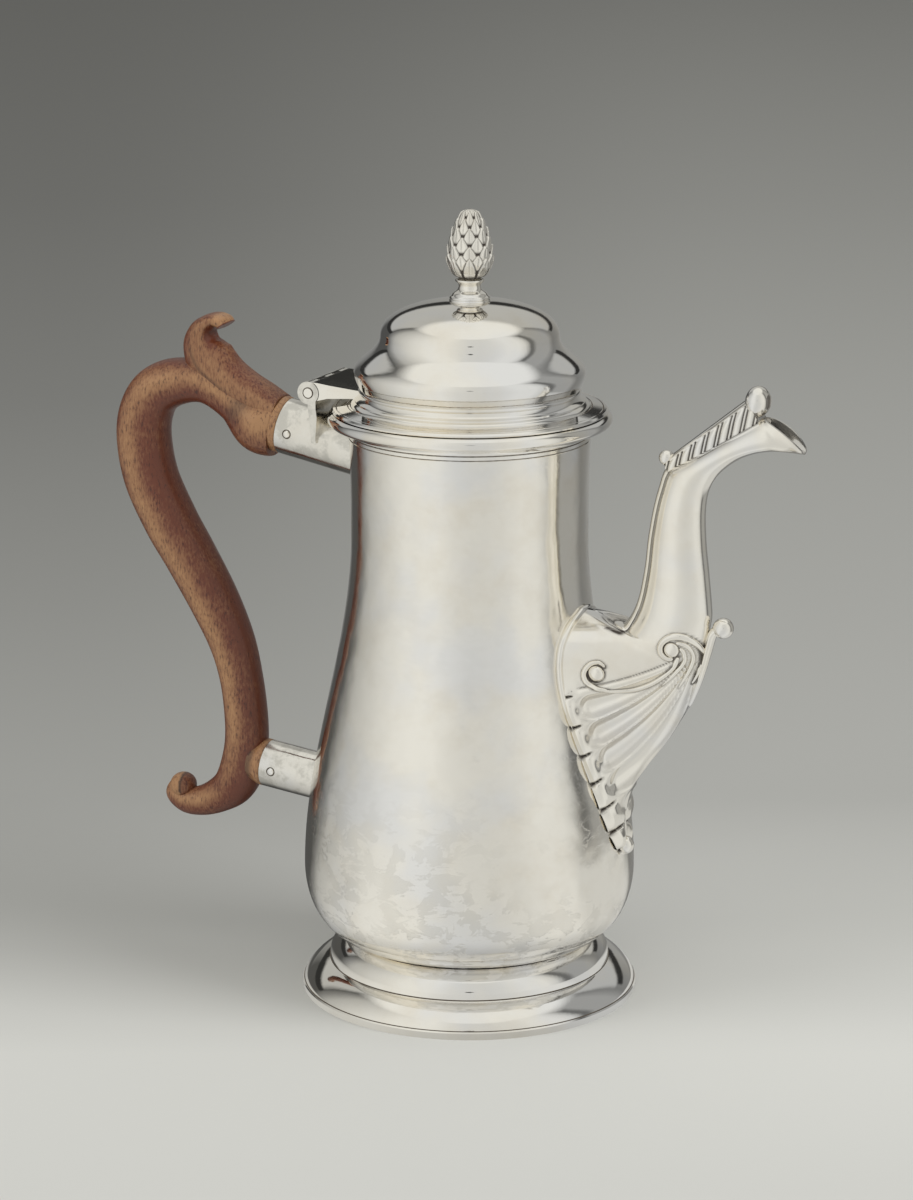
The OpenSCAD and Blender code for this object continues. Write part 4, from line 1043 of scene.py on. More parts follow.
# out, up and radius along each strip
CROOK = [(S + 40.2, 117.5, 0.45), (S + 42.3, 122.5, 0.7), (S + 43.2, 127.0, 0.9),
         (S + 42.6, 130.6, 1.0), (S + 40.3, 133.2, 1.1), (S + 37.0, 134.3, 1.15),
         (S + 33.6, 133.6, 1.1), (S + 31.2, 131.2, 1.0), (S + 31.0, 128.2, 0.9),
         (S + 32.8, 126.3, 0.75), (S + 35.0, 126.2, 0.6)]
OUTER_RIB = [(S + 36.3, 116.0, 0.3), (S + 39.3, 121.5, 0.6), (S + 40.9, 126.2, 0.75),
             (S + 40.3, 129.6, 0.8), (S + 38.4, 131.5, 0.8), (S + 36.0, 132.0, 0.6)]
INNER_RIB = [(S + 31.5, 117.0, 0.3), (S + 35.6, 121.4, 0.6), (S + 38.2, 125.3, 0.75),
             (S + 38.4, 128.3, 0.8), (S + 37.2, 130.2, 0.6)]
TOP_STRIP = [(S + 12.5, 115.6, 0.5), (S + 17.0, 114.9, 0.75), (S + 22.5, 115.2, 0.85),
             (S + 28.0, 117.3, 0.9), (S + 32.4, 120.5, 0.9), (S + 35.4, 124.0, 0.85),
             (S + 36.6, 127.0, 0.7)]
BOSS_CURL = [(S + 15.2, 115.4, 0.5), (S + 11.6, 115.9, 0.8), (S + 8.2, 117.6, 0.9),
             (S + 7.0, 120.6, 0.9), (S + 8.6, 123.4, 0.85), (S + 11.4, 124.2, 0.7),
             (S + 13.6, 122.8, 0.5)]
# path, how proud it stands, how dark its edges are
STRIPS = [(CROOK, 0.75, 0.8), (OUTER_RIB, 0.55, 0.42), (INNER_RIB, 0.55, 0.42),
          (TOP_STRIP, 0.45, 0.7), (BOSS_CURL, 0.6, 0.8)]
# name, centre and radius, thickness, lean in degrees
DISCS = [("volute_disc", (S + 34.3, 129.4, 2.7), 1.3, 8),
         ("shell_boss", (S + 10.9, 120.4, 2.9), 2.0, 14)]
STRIP_GRIME_AND_SHADE, DISC_GRIME_AND_SHADE = 0.42, 0.5

for number, (path, proud, edge_grime_and_shade) in enumerate(STRIPS):
    path = np.array(path)
    centres, radii = laid_strip(path[:, :2], path[:, 2], proud)
    rings = wire(centres, round_ends(radii), flat=0.9)
    shade_and_grime_beside(np.column_stack([centres[:, 0], centres[:, 2], 0.75 * radii]),
                 STRIP_GRIME_AND_SHADE, edge_grime_and_shade)
    for side, shape in (("left", rings), ("right", mirrored(rings))):
        finish(loft(f"spout_strip_{number}_{side}", shape, CAST), "pot", "silver")
for name, (x, z, r), thick, lean in DISCS:
    y = on_surface(x, z)
    # the casting is painted dark round each disc: old polish and shade
    shade_and_grime_beside([(x, z, 0.9 * r)], DISC_GRIME_AND_SHADE)
    dome = [(r * math.sin(t), thick * math.cos(t)) for t in np.linspace(0.001, math.pi, 24)]
    for side, sign in (("left", 1), ("right", -1)):
        tip = Matrix.Rotation(math.radians(sign * 90 + lean * sign), 3, "X")
        bead = turned(f"{name}_{side}", dome, (x, sign * (y + 0.3), z), tip, CAST)
        finish(bead, "pot", "silver")
print("strips:", 2 * len(STRIPS), "discs:", 2 * len(DISCS))

# %% [markdown]
# The edge of the casting is rolled where it arches over the saddle. That is one round
# strip that follows the casting's upper edge across the wall of the body, from one side
# to the other, and thins out at both ends.

# %% Rolled edge
EDGE_FROM, EDGE_THICK, EDGE_TAPER = 6, 1.05, 0.10
EDGE_SHIFT = [0.25, 0, 0.1]
edge_rows = refine(np.array([(row[1], row[0]) for row in SPOUT_ROOT[EDGE_FROM:]]), 8)
half_w, up_z = edge_rows[:, 0], edge_rows[:, 1]
out_x = np.sqrt(body_radius(up_z) ** 2 - half_w ** 2)
path = np.concatenate([np.column_stack([out_x, -half_w, up_z]),
                       np.column_stack([out_x, half_w, up_z])[::-1]])
outward_way = path * [1, 1, 0] / np.hypot(path[:, 0], path[:, 1])[:, None]
path = path + outward_way * 0.5 + EDGE_SHIFT
sideways = np.cross(directions(path), outward_way)
sideways /= np.linalg.norm(sideways, axis=1, keepdims=True)
span = np.linspace(0, 1, len(path))
thick = EDGE_THICK * ease(span / EDGE_TAPER) * ease((1 - span) / EDGE_TAPER) + 0.05
turn = circle(20)
rings = (path[:, None] + thick[:, None, None]
         * (np.cos(turn)[None, :, None] * outward_way[:, None]
            + np.sin(turn)[None, :, None] * sideways[:, None]))
finish(loft("rolled_edge", rings, CAST), "pot", "silver")
print("rolled edge spans", round(2 * float(half_w.max()), 1), "mm")

# %% [markdown]
# The point at the bottom of the shell ends in a small drop, turned from a half circle.
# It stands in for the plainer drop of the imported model, and the pieces below stand in for
# theirs in the same way.

# %% Tail drop
BALL = [(math.sin(t), math.cos(t)) for t in np.linspace(0.001, math.pi - 0.001, 32)]
DROP_R, DROP_H, DROP_UP = 2.8, 3.1, 57.3
drop_at = (float(body_radius(57)) + 1.7, 0, DROP_UP)
drop = turned("tail_drop", np.array(BALL) * [DROP_R, DROP_H], drop_at, UPRIGHT, CAST)
finish(drop, "pot", "silver", "spout_tail_drop")
print("tail drop at", round(drop_at[0], 1), "mm from the middle")

# %% [markdown]
# The rib on the back hides the solder line between the two halves. It is a half-round
# strip wrapped over the back of the sections, and it ends in a rounded tongue that lies
# on the saddle.

# %% Back rib
RIB_WIDTH, RIB_THICK, TONGUE_WIDTH = 2.4, 1.2, 6.4
RIB_SECTIONS, RIB_GRIME_AND_SHADE_SECTIONS = 120, 36
CREST_FIRST, CREST_LAST = 11, 16        # rows of the neck where the crest stands


def back_rib():
    rows = np.array(SPOUT_NECK)
    places = np.linspace(1.0, CREST_FIRST, RIB_SECTIONS)
    now, later = through(rows, places), through(rows, places + 0.05)
    v = np.linspace(-1, 1, 21)
    rings, outline = [], []
    for i, (row, after) in enumerate(zip(now, later)):
        share = i / (len(places) - 1)
        tip = math.sqrt(1 - max(0, 1 - (i + 0.3) / 9) ** 2)
        half = (RIB_WIDTH + (TONGUE_WIDTH - RIB_WIDTH) * (1 - share) ** 5) * tip
        start, way = row[:2], row[2:4] - row[:2]
        along = after[:2] - start
        up = np.array([-along[1], along[0]]) / np.linalg.norm(along)
        skin = start + way * ((1 - np.sqrt(1 - (v * half / row[5]) ** 2)) / 2)[:, None]
        top = skin + up * (RIB_THICK * tip * np.sqrt(1.001 - v * v))[:, None]
        low = skin - up * 0.5
        over = np.column_stack([S + top[:, 0], half * v, top[:, 1]])
        under = np.column_stack([S + low[:, 0], half * v, low[:, 1]])
        rings.append(np.concatenate([over, under[::-1]]))
        outline.append((S + skin[0, 0], skin[0, 1], 0.15))
    return rings, outline


rings, outline = back_rib()
# the casting is painted dark along the tongue's outline: old polish and shade
shade_and_grime_beside(outline[:RIB_GRIME_AND_SHADE_SECTIONS], 0.45)
finish(loft("back_rib", rings, CAST), "pot", "silver", "spout_back_rib")
print("back rib sections:", len(rings))

# %% [markdown]
# Another strip runs up the front edge of the shell, leaves it and curls forward into a
# bead. It stands free of the casting, so its line lies in the middle plane and no ray is
# needed to find the surface.

# %% Front strip and bead
FRONT_STRIP = [(38.2, 108.5, 0.7), (41.0, 116.0, 1.0), (43.0, 123.0, 1.3),
               (44.6, 129.5, 1.5), (45.8, 133.8, 1.6), (47.9, 136.0, 1.7), (49.8, 136.4, 1.7)]
FRONT_BEAD, FRONT_BEAD_R = (S + 49.6, 0, 136.5), 3.5
rows = refine(np.array(FRONT_STRIP), 8)
centres = np.column_stack([S + rows[:, 0], np.zeros(len(rows)), rows[:, 1]])
rings = wire(centres, round_ends(rows[:, 2], (True, False)), flat=1.45)
finish(loft("front_strip", rings, CAST), "pot", "silver", "spout_front_scroll")
bead = turned("front_bead", FRONT_BEAD_R * np.array(BALL), FRONT_BEAD, UPRIGHT, CAST)
finish(bead, "pot", "silver", "spout_front_scroll")
print("front bead:", 2 * FRONT_BEAD_R, "mm across")

# %% [markdown]
# ## The crest
#
# The crest is a bar on the back of the beak, with slanting flutes pressed into both sides
# between two plain borders. Each flute is a rounded lobe with a thin bead beside it, and
# the hollow between them is painted dark, as old polish and as shade.

# %% Crest bar
CREST_FLUTES = 7
CREST_LEAN = 0.95
CREST_STEPS, CREST_SIDE = 300, 26
crest_a = np.array([S + SPOUT_NECK[CREST_FIRST][0], SPOUT_NECK[CREST_FIRST][1]])
crest_b = np.array([S + SPOUT_NECK[CREST_LAST][0], SPOUT_NECK[CREST_LAST][1]])
crest_len = np.linalg.norm(crest_b - crest_a)
crest_way = (crest_b - crest_a) / crest_len
crest_up = np.array([-crest_way[1], crest_way[0]])


def crest_section(f):
    # half of one section: a flat side that runs into a rounded top
    w = 3.0 + 1.6 * f
    axis = 3.6 + 4.4 * f - w
    arc = np.radians(np.linspace(3, 90, CREST_SIDE))
    across = np.concatenate([np.full(CREST_SIDE, w), w * np.cos(arc)])
    up = np.concatenate([np.linspace(-3.2, axis, CREST_SIDE), axis + w * np.sin(arc)])
    band = ease((up + 0.9) / 0.35) * ease((axis + w * 0.62 - up) / 0.35)
    phase = CREST_FLUTES * (f - CREST_LEAN * up / crest_len)
    share = phase - np.floor(phase)
    lobe = 0.56 * np.sin(np.pi * np.clip(share / 0.66, 0, 1)) ** 0.6
    bead = 0.42 * np.sin(np.pi * np.clip((share - 0.70) / 0.26, 0, 1))
    hollow = (0.75 - lobe - bead) * band
    across = across - hollow + 0.30 * ridge(up + 1.6, 0.45)
    grime_and_shade = 0.8 * ease((hollow - 0.34) / 0.30) + 0.7 * ridge(up + 0.85, 0.25)
    return np.column_stack([across, up]), np.clip(grime_and_shade, 0, 1)


def crest():
    rings, marks = [], []
    for f in np.linspace(0, 1, CREST_STEPS):
        half, grime_and_shade = crest_section(f)
        loop = np.concatenate([half, (half * [-1, 1])[::-1][1:]])
        here = crest_a + crest_way * crest_len * f
        spot = here[None] + crest_up[None] * loop[:, 1:]
        rings.append(np.column_stack([spot[:, 0], loop[:, 0], spot[:, 1]]))
        marks.append(np.concatenate([grime_and_shade, grime_and_shade[::-1][1:]]))
    return rings, np.concatenate(marks)


rings, marks = crest()
finish(loft("crest_bar", rings, CAST_GRIMED_AND_SHADED, groove=marks), "pot", "silver", "spout_crest")
print("crest length", round(float(crest_len), 1), "mm")

# %% [markdown]
# It starts at a round bead and ends under an oval bun, which is dished in front above the
# mouth of the beak. The dish is painted darker than the bun's round side, as tarnish and
# as painted shade.

# %% Crest bead and knob
CREST_BEAD_R, KNOB_R, KNOB_L = 2.6, 5.1, 4.2
DISH_FROM = math.radians(148)
# share of the lip's radius, depth below the lip, and how dark it is there
DISH = [(0.93, 0.1, 0.6), (0.85, 0.4, 0.8), (0.5, 0.75, 0.75), (0.0, 0.85, 0.7)]

bead_at = crest_a + crest_way * 1.2 + crest_up * 3.9
bead = turned("crest_bead", CREST_BEAD_R * np.array(BALL), (bead_at[0], 0, bead_at[1]),
              UPRIGHT, CAST)
finish(bead, "pot", "silver", "spout_crest")

knob_at = crest_b + [-1.3, KNOB_R + 0.3]
bun = [(KNOB_R * math.sin(t), -KNOB_L * math.cos(t)) for t in np.linspace(0.001, DISH_FROM, 40)]
dark = [0.0] * (len(bun) - 1) + [0.35] + [row[2] for row in DISH]
lip_r, lip_h = bun[-1]
bun += [(max(lip_r * share, 0.001), lip_h - deep) for share, deep, _ in DISH]
knob = turned("crest_knob", bun, (knob_at[0], 0, knob_at[1]),
              Matrix.Rotation(math.radians(90), 3, "Y"), CAST_GRIMED_AND_SHADED, groove=dark)
finish(knob, "pot", "silver", "spout_crest")
print("knob:", 2 * KNOB_R, "mm across")

# %% [markdown]
# ## Pine-cone finial
#
# The cone was cast and then chased by hand. Its scales overlap like roof tiles, pointed
# end up: each one lifts off the cone towards its tip, and the next row starts in the
# shadow behind it. That is a height over the egg-shaped core, worked out for every point
# from the scales that cover it. The lowest row are long plain leaves.

# %% Heights of the scales
SCALES_AROUND, SCALE_ROWS = 8, 7
SCALE_LIFT = 1.25
ROW_STEP, SCALE_TALL, LEAF_TALL = 0.125, 0.275, 0.36


def core_radius(t):
    return 7.1 * np.sin(np.pi * np.clip(t, 0, 1) ** 0.60) ** 0.50


def scale_height(turn, t):
    best, second, line = np.zeros_like(t), np.zeros_like(t), np.zeros_like(t)
    for row in range(SCALE_ROWS + 1):
        v = (t + 0.02 - ROW_STEP * row) / (SCALE_TALL if row else LEAF_TALL)
        pos = SCALES_AROUND * turn / math.tau + 0.5 * (row % 2)
        u = 2 * (pos - np.floor(pos)) - 1
        inside = (v > 0) & (v < 1)
        edge = 1.02 * np.clip(1 - np.clip(v, 0, 1) ** 2.4, 0, 1) ** 0.8
        reach = edge - np.abs(u)
        lifted = 0.12 + 0.88 * np.clip(v, 0, 1) ** 1.4
        body = SCALE_LIFT * lifted * np.sqrt(np.clip(reach * 4, 0, 1))
        body = np.where(inside & (reach > 0), body, 0)
        cover = body > best
        line = np.where(cover, ridge(u, 0.075) * ease(v * 5 - 1) * ease((1 - v) * 5), line)
        second = np.where(cover, best, np.maximum(second, body))
        best = np.where(cover, body, best)
    # where two scales are level, one dips behind the other
    return best, line, 1 - ease((best - second) / 0.40)


print("scales:", SCALES_AROUND * SCALE_ROWS, "and", SCALES_AROUND, "leaves")

# %% [markdown]
# The heights are laid on a fine grid from the top of the stem to the top of the pot. Each
# scale has a shallow line down its middle, and the low places between the scales are
# painted dark, as old polish and as shade.

# %% Model the pine cone
CONE_UPS, CONE_ROUNDS = 230, 216
lid_dome_top = max((NODES["lid_dome"].matrix_world @ Vector(c)).z
                   for c in NODES["lid_dome"].bound_box) / MM
CONE_BASE, CONE_TOP = lid_dome_top + 7.2, cad_high[2] / MM


def pine_cone():
    turn, t = np.meshgrid(circle(CONE_ROUNDS), np.linspace(0.012, 0.994, CONE_UPS))
    lift, line, seam = scale_height(turn, t)
    fade = ease(t / 0.05) * ease((1 - t) / 0.05)
    radius = core_radius(t) + (lift - 0.14 * line - 0.22 * seam) * fade
    height = CONE_BASE + (CONE_TOP - CONE_BASE) * t
    rings = np.stack([radius * np.cos(turn), radius * np.sin(turn), height], -1)
    grime_and_shade = np.clip((ease((0.36 - lift) / 0.22) + 0.8 * seam) * fade + 0.35 * line, 0, 1)
    return rings, grime_and_shade.reshape(-1)


rings, marks = pine_cone()
cone = loft("pine_cone", rings, CAST_GRIMED_AND_SHADED, groove=marks, sharp=75)
finish(cone, "lid", "silver", "finial")
print("cone from", round(CONE_BASE, 1), "to", round(CONE_TOP, 1), "mm")

# %% [markdown]
# The stem under it is a small baluster on a turned base, in one profile of radius and
# height.

# %% Turn the stem
STEM = [(0.001, -0.2), (6.4, -0.2), (6.85, 0.1), (6.95, 0.5), (6.85, 0.85), (6.6, 1.0),
        (6.85, 1.2), (6.85, 1.5), (6.5, 1.8), (6.1, 2.1), (5.9, 2.6), (5.3, 3.1), (4.5, 3.6),
        (4.0, 4.2), (3.75, 5.0), (3.85, 5.7), (4.2, 6.3), (4.75, 6.65), (4.95, 7.0),
        (4.9, 7.35), (4.5, 7.6), (3.6, 7.8), (0.001, 7.9)]
stem = turned("finial_stem", STEM, (0, 0, lid_dome_top - 0.3), UPRIGHT, CAST)
finish(stem, "lid", "silver", "finial")
print("stem:", round(STEM[-1][1] - STEM[0][1], 1), "mm high")

# %% [markdown]
# ## The carved handle
#
# The handle is one piece of fruitwood, an S from socket to socket with a thumb scroll on
# top. It was sawn as a flat S and then rounded by hand, so every section is a soft oval
# that is thick in the grip and thin at the ends. Sweeping an oval along the curve gives
# the same piece. A few steps in the table become many by the smooth curve used before.

# %% The handle's curve
UPPER_MOUTH, LOWER_MOUTH = np.array([-68.3, 191.2]), np.array([-76.9, 69.6])
UPPER_TILT, LOWER_TILT = math.radians(11), math.radians(7)
UPPER_R, LOWER_R, COLLAR = 9.8, 8.3, 3.0
HANDLE_STEPS = 10
# share of the way from the upper socket to the lower one, reach outwards, radius
HANDLE = [
    (0.004, 0.9, 9.9), (0.006, 9.8, 10.3), (-0.045, 20.0, 7.4), (-0.084, 31.5, 7.2),
    (-0.075, 42.6, 8.2), (-0.035, 50.8, 8.9), (0.031, 54.7, 9.4), (0.113, 54.9, 9.6),
    (0.221, 51.3, 9.6), (0.337, 43.0, 9.5), (0.427, 34.9, 9.2), (0.547, 24.7, 8.8),
    (0.656, 17.1, 8.1), (0.755, 12.8, 7.6), (0.857, 10.2, 7.6), (0.946, 9.2, 7.7),
    (1.026, 10.2, 7.9), (1.086, 13.2, 7.4), (1.127, 18.6, 6.3), (1.155, 25.0, 5.4),
    (1.164, 31.4, 4.7), (1.148, 36.0, 3.7), (1.120, 35.4, 2.7)]
# outwards and upwards from the upper mouth, half thickness, half width
THUMB = [
    (2.0, 5.6, 4.6, 7.6), (8.7, 8.6, 5.6, 7.4), (15.7, 11.8, 6.2, 7.0), (22.7, 15.6, 7.4, 6.6),
    (28.7, 20.6, 8.8, 6.2), (31.4, 26.0, 7.6, 6.0), (31.3, 30.4, 5.2, 6.0),
    (29.3, 33.4, 3.3, 6.0), (26.6, 34.9, 2.4, 5.8), (24.0, 34.4, 2.3, 5.5),
    (22.9, 33.2, 2.1, 5.2)]
down = LOWER_MOUTH - UPPER_MOUTH
outward = np.array([down[1], -down[0]]) / np.linalg.norm(down)
print("sockets are", round(float(np.linalg.norm(down)), 1), "mm apart")

# %% [markdown]
# Three helpers serve all the wood. The first sweeps the oval, and the second stops the
# wood at the plane of the upper socket's collar, as the carver does. The third makes the
# mesh and stores how far each point is worn, a number that also carries a painted highlight.
# Cleaning a mesh renumbers its points, so each one takes its number from the nearest point
# of the plan.

# %% Helpers for the wood
STOP_BELOW = 20.0       # the upper collar cuts nothing lower than this under its mouth


def oval_sweep(rows, around=64, square=0.0):
    along = directions(rows[:, :2])
    a = circle(around)
    full = 1 + square * np.sin(2 * a) ** 2
    u, v = rows[:, 2:3] * np.cos(a) * full, rows[:, 3:4] * np.sin(a) * full
    return np.stack([rows[:, 0:1] - along[:, 1:2] * u, v,
                     rows[:, 1:2] + along[:, 0:1] * u], -1), a


def stop_at_collar(rings):
    mouth = np.array([UPPER_MOUTH[0], 0, UPPER_MOUTH[1]])
    inwards = np.array([math.cos(UPPER_TILT), 0, -math.sin(UPPER_TILT)])
    past = np.maximum((rings - mouth) @ inwards + COLLAR - 0.15, 0)
    past *= rings[..., 2] > UPPER_MOUTH[1] - STOP_BELOW
    return rings - past[..., None] * inwards


def wood_piece(name, rings, wear_and_highlight, groove):
    rings = np.asarray(rings, float)
    plan = rings.shape[:2]
    groove = np.clip(np.broadcast_to(groove, plan), 0, 1).reshape(-1)
    piece = loft(name, rings, WOOD, groove=groove, sharp=60)
    points = rings.reshape(-1, 3) * MM
    nearest = KDTree(len(points))
    for i, p in enumerate(points):
        nearest.insert(p, i)
    nearest.balance()
    wear_and_highlight = np.broadcast_to(wear_and_highlight, plan).reshape(-1)
    layer = piece.data.attributes.new("wear_and_highlight", "FLOAT", "POINT")
    layer.data.foreach_set("value", [float(wear_and_highlight[nearest.find(v.co)[1]])
                                     for v in piece.data.vertices])
    return finish(piece, "pot", "wood", "handle")


print("wood helpers ready")

# %% [markdown]
# Hands wear the sides of the grip and leave the stain on its back and in the finger
# space. The tan band along each side is also a painted highlight. The wear is less near
# the lower socket, where fingers seldom reach. The lower scroll is knocked often and is
# worn all round its end. A dark crack lies where the grip leaves its upper collar.

# %% Sweep the grip
rows = refine(np.array(HANDLE), HANDLE_STEPS)
spine = UPPER_MOUTH + rows[:, :1] * down + rows[:, 1:2] * outward
rings, a = oval_sweep(np.column_stack([spine, rows[:, 2], rows[:, 2] * 0.92]), square=0.035)
rings = stop_at_collar(rings)
step = np.linspace(0, 1, len(rings))[:, None]
# wear and painted highlight: a tan band along each flank of the grip
wear_and_highlight = 0.04 + 0.90 * ridge(np.cos(a) + 0.28, 0.46)[None] * np.ones_like(step)
wear_and_highlight *= 1 - 0.45 * ease((step - 0.62) / 0.12) * ease((0.86 - step) / 0.08)
wear_and_highlight += 0.3 * ease((0.10 - step) / 0.06)
worn_end = ease((step - 0.93) / 0.04)
wear_and_highlight = wear_and_highlight * (1 - worn_end) + worn_end * 0.75
groove = 0.55 * ridge(step - 0.078, 0.012) * ease(np.cos(a + 2.3) * 1.5)[None]
wood_piece("handle_grip", rings, wear_and_highlight, groove)
print("grip sections:", len(rings))

# %% [markdown]
# The thumb scroll is a leaf that curls over at its tip. Under the curl the carver left a
# hollow, with a thin lip standing along both edges. A dark line lies where the curl
# begins and another along each side of the leaf.

# %% Sweep the thumb scroll
CURL_FROM, HOLLOW_DEEP = 0.80, 0.16
rows = refine(np.array(THUMB), HANDLE_STEPS)
spine = UPPER_MOUTH + rows[:, :2] * [-1, 1]
rings, a = oval_sweep(np.column_stack([spine, rows[:, 2:]]), square=0.05)
step = np.linspace(0, 1, len(rings))[:, None]
front = ease(-np.cos(a) * 1.6)[None]
side = np.abs(np.sin(a))[None]
lip = ridge(side - 0.97, 0.10)
dip = ease((step - 0.38) / 0.18) * ease((CURL_FROM - step) / 0.12) * front * (1 - lip)
centre = np.stack([spine[:, 0], 0 * spine[:, 0], spine[:, 1]], -1)[:, None]
rings = stop_at_collar(centre + (rings - centre) * (1 - HOLLOW_DEEP * dip)[..., None])
tip = ease((step - CURL_FROM) / 0.06)
wear_and_highlight = (0.30 + 0.4 * lip) * (1 - 0.9 * dip) * (1 - tip) + tip * 1.1
wear_and_highlight = wear_and_highlight * (1 - 0.95 * ease((step - 0.955) / 0.02))
under_curl = 0.8 * ridge(step - CURL_FROM, 0.012) * front * (side < 0.9)
along_side = (0.7 * ridge(np.cos(a)[None] - 0.35, 0.06)
              * ease((0.55 - step) / 0.1) * ease((step - 0.2) / 0.1))
wood_piece("handle_thumb_scroll", rings, wear_and_highlight, under_curl + along_side)
print("thumb scroll sections:", len(rings))

# %% [markdown]
# The lower end rolls up into a small ball. One dark line on it shows where the roll
# begins.

# %% Curl of the lower scroll
CURL_AT = np.array([-111.2, 0, 57.3])
CURL_LONG, CURL_WIDE, CURL_TALL = 4.7, 5.0, 4.5
ROLL_LINE = 0.9
a = circle(48)
rings = np.stack([CURL_AT + np.stack([CURL_LONG * math.sin(v) * np.cos(a),
                                      CURL_WIDE * math.cos(v) + 0 * a,
                                      CURL_TALL * math.sin(v) * np.sin(a)], -1)
                  for v in np.linspace(0.02, math.pi - 0.02, 40)])
across = rings[..., 0] - CURL_AT[0]
upper = ease((rings[..., 2] - CURL_AT[2] + 3.0) / 2)
wood_piece("handle_curl", rings, np.where(across < ROLL_LINE, 0.95, 0.15),
           ridge(across - ROLL_LINE, 0.45) * upper)
print("curl:", 2 * CURL_WIDE, "mm wide")

# %% [markdown]
# At both sockets the wood has a turned collar where it meets the silver, and a round
# tenon that goes inside and is held by the pin. Each is one profile: how far past the
# mouth a ring lies, and its radius.

# %% Collars and tenons
TENON_THINNER, TENON_LONG = 1.35, 14.8
COLLARS = [
    ("upper", UPPER_MOUTH, UPPER_TILT, UPPER_R,
     [(-COLLAR - 0.4, 6.0 - UPPER_R), (-COLLAR, -0.5), (-COLLAR + 0.3, -0.1),
      (-COLLAR + 0.7, 0), (-0.7, 0), (-0.3, -0.1), (-0.05, -0.4)]),
    ("lower", LOWER_MOUTH, LOWER_TILT, LOWER_R,
     [(-2 * COLLAR, -1.2), (-2 * COLLAR + 1.5, -0.7), (-2.6, -0.35), (-2.2, -0.05),
      (-1.8, 0), (-0.6, 0), (-0.2, -0.2), (-0.05, -0.5)])]


def ring_stack(centre, tilt, profile, around=72):
    way = np.array([math.cos(tilt), 0, -math.sin(tilt)])
    side = np.array([math.sin(tilt), 0, math.cos(tilt)])
    a = circle(around)
    around_way = np.cos(a)[:, None] * side + np.sin(a)[:, None] * [0, 1, 0]
    base = np.array([centre[0], 0, centre[1]])
    return np.stack([base + way * d + r * around_way for d, r in profile])


for name, centre, tilt, radius, collar in COLLARS:
    profile = [(past, radius + thinner) for past, thinner in collar]
    profile += [(-0.05, radius - TENON_THINNER), (TENON_LONG, radius - TENON_THINNER),
                (TENON_LONG + 0.1, 0.01)]
    rings = ring_stack(centre, tilt, profile)
    dark = np.zeros(rings.shape[:2])
    dark[:2] = 0.7
    wood_piece(f"handle_{name}_collar", rings, 0.98, dark)

# %% [markdown]
# ## Moulding at the foot of the lid
#
# Where the dome stands on its brim the silversmith ran a small moulding: a bead, a cove
# below it and a low step out to the brim. It is one profile turned about the pot's
# centre line, and it covers the seam between the two sheets.

# %% Turn the lid moulding
LID_MOULDING = [
    (35.4, 204.9), (40.2, 204.3), (40.1, 204.75), (39.5, 205.3), (38.9, 205.6),
    (38.55, 205.7), (38.5, 206.2), (38.1, 206.45), (37.5, 206.9), (37.05, 207.5),
    (36.8, 208.3), (37.0, 208.45), (37.25, 208.75), (37.35, 209.1), (37.25, 209.45),
    (36.95, 209.7), (36.3, 209.85), (35.4, 209.8), (35.4, 204.9)]
moulding = turned("lid_moulding", LID_MOULDING, (0, 0, 0), UPRIGHT, POLISHED, 180)
finish(moulding, "lid", "silver")
print("lid moulding:", LID_MOULDING[1][0], "mm radius")

# %% [markdown]
# ## Lines of old polish
#
# Two hundred years of polishing paste have settled in the seams and in the turner's
# incised lines. Each line is a hair-thin ring of dark grime, laid where a ray meets the
# silver.

# %% Fill the seams and incised lines
LINE_SUNK = 0.03        # the hair lies this far inside the surface
# height and thickness of each line on the pot; radius and thickness on the lid
POT_LINES = [(2.85, 0.17), (10.5, 0.17), (19.83, 0.16), (193.38, 0.13), (194.87, 0.13)]
LID_LINES = [(40.8, 0.11), (44.8, 0.11)]


def node_tree_of(*names):
    points, faces = [], []
    for name in names:
        piece = NODES[name]
        first = len(points)
        points += [piece.matrix_world @ v.co for v in piece.data.vertices]
        faces += [tuple(first + i for i in p.vertices) for p in piece.data.polygons]
    return BVHTree.FromPolygons(points, faces)


def grime_ring(name, r, z, thick, body):
    rings = []
    for t in circle(180):
        x, y = r * math.sin(t), -r * math.cos(t)
        rings.append([(x * (1 + thick * math.cos(v) / r), y * (1 + thick * math.cos(v) / r),
                       z + thick * math.sin(v)) for v in circle(8)])
    rings = np.array(rings + rings[:1])
    return finish(loft(name, rings, GRIME, caps=False, sharp=180), body, "silver")


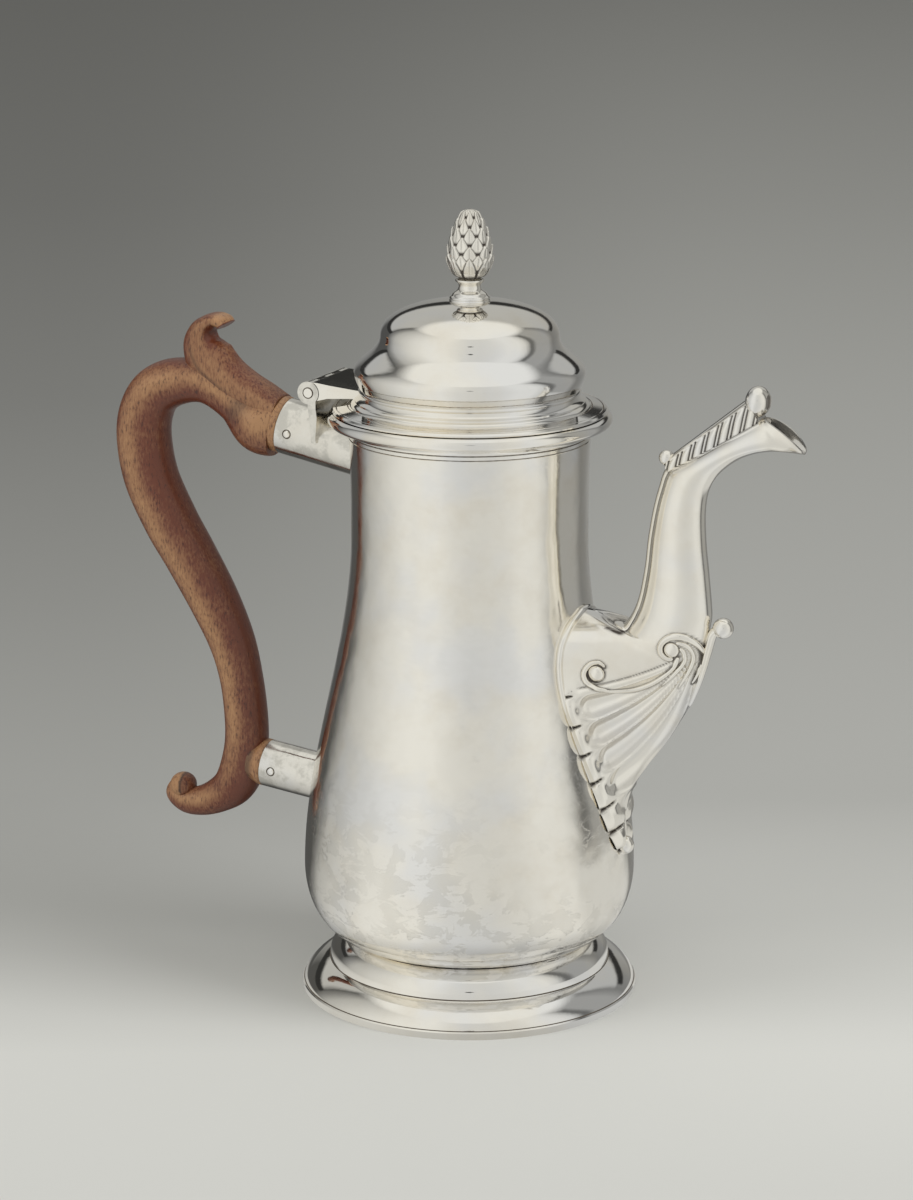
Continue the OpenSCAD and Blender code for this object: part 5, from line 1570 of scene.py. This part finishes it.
POT_WALLS = node_tree_of("body_shell", "body_rim", "foot", "foot_rim")
LID_WALLS = node_tree_of("lid_dome", "lid_flange")
for number, (z, thick) in enumerate(POT_LINES):
    hit = POT_WALLS.ray_cast(Vector((0, -0.09, z * MM)), Vector((0, 1, 0)))[0]
    grime_ring(f"pot_line_{number}", -hit.y / MM - LINE_SUNK, z, thick, "pot")
for number, (r, thick) in enumerate(LID_LINES):
    hit = LID_WALLS.ray_cast(Vector((0, -r * MM, 0.3)), Vector((0, 0, -1)))[0]
    grime_ring(f"lid_line_{number}", r, hit.z / MM - LINE_SUNK, thick, "lid")
print("lines on the pot and the lid:", len(POT_LINES), len(LID_LINES))

# %% [markdown]
# The same grime rings both ends of every pin. The hinge pin's ends are flat, so a small
# turned ring will do. The sockets are round, so there a ray finds the wall at each step
# round the pin.

# %% Ring the pins
def pin_box(name):
    pin = NODES[name]
    ends = np.array([pin.matrix_world @ Vector(c) for c in pin.bound_box]) / MM
    return ends.mean(0), ends.max(0), ends.min(0)


PIN_LINE = [(1.55, -0.05), (1.6, 0.03), (1.9, 0.03), (1.95, -0.05)]
middle, highest, _ = pin_box("hinge_pin")
pin_y = float(highest[1])
for side, sign in (("near", -1), ("far", 1)):
    flat = Matrix.Rotation(math.radians(-90 * sign), 3, "X")
    line = turned(f"pin_line_{side}", PIN_LINE, (middle[0], sign * pin_y, middle[2]), flat,
                  GRIME)
    finish(line, "pot", "silver")
print("hinge pin reaches", round(pin_y, 1), "mm")

SOCKET_LINE, SOCKET_LINE_TALL = 0.2, 0.16
for name in ("upper_socket", "lower_socket"):
    middle, highest, lowest = pin_box(f"{name}_pin")
    pin_r = (highest[2] - lowest[2]) / 2 + 0.1
    wall = node_tree_of(name)
    for side, sign in (("near", -1), ("far", 1)):
        rings = []
        for t in np.linspace(0, math.tau, 33):
            x, z = middle[0] + pin_r * math.cos(t), middle[2] + pin_r * math.sin(t)
            start = Vector((x * MM, sign * 0.03, z * MM))
            hit = wall.ray_cast(start, Vector((0, -sign, 0)))[0]
            v = circle(8)
            reach = pin_r + SOCKET_LINE * np.cos(v)
            rings.append(np.column_stack([middle[0] + reach * math.cos(t),
                                          hit.y / MM + SOCKET_LINE_TALL * np.sin(v),
                                          middle[2] + reach * math.sin(t)]))
        line = loft(f"{name}_pin_line_{side}", rings, GRIME, caps=False, sharp=180)
        finish(line, "pot", "silver")
print("lines round the pins: 6")

# %% [markdown]
# ## Finish
#
# The plain "Standard" view keeps white paper white and silver neutral, with no film
# curve over them. The finer pieces must not make the pot bigger than it is.

# %% Colour management
bpy.context.scene.view_settings.view_transform = "Standard"
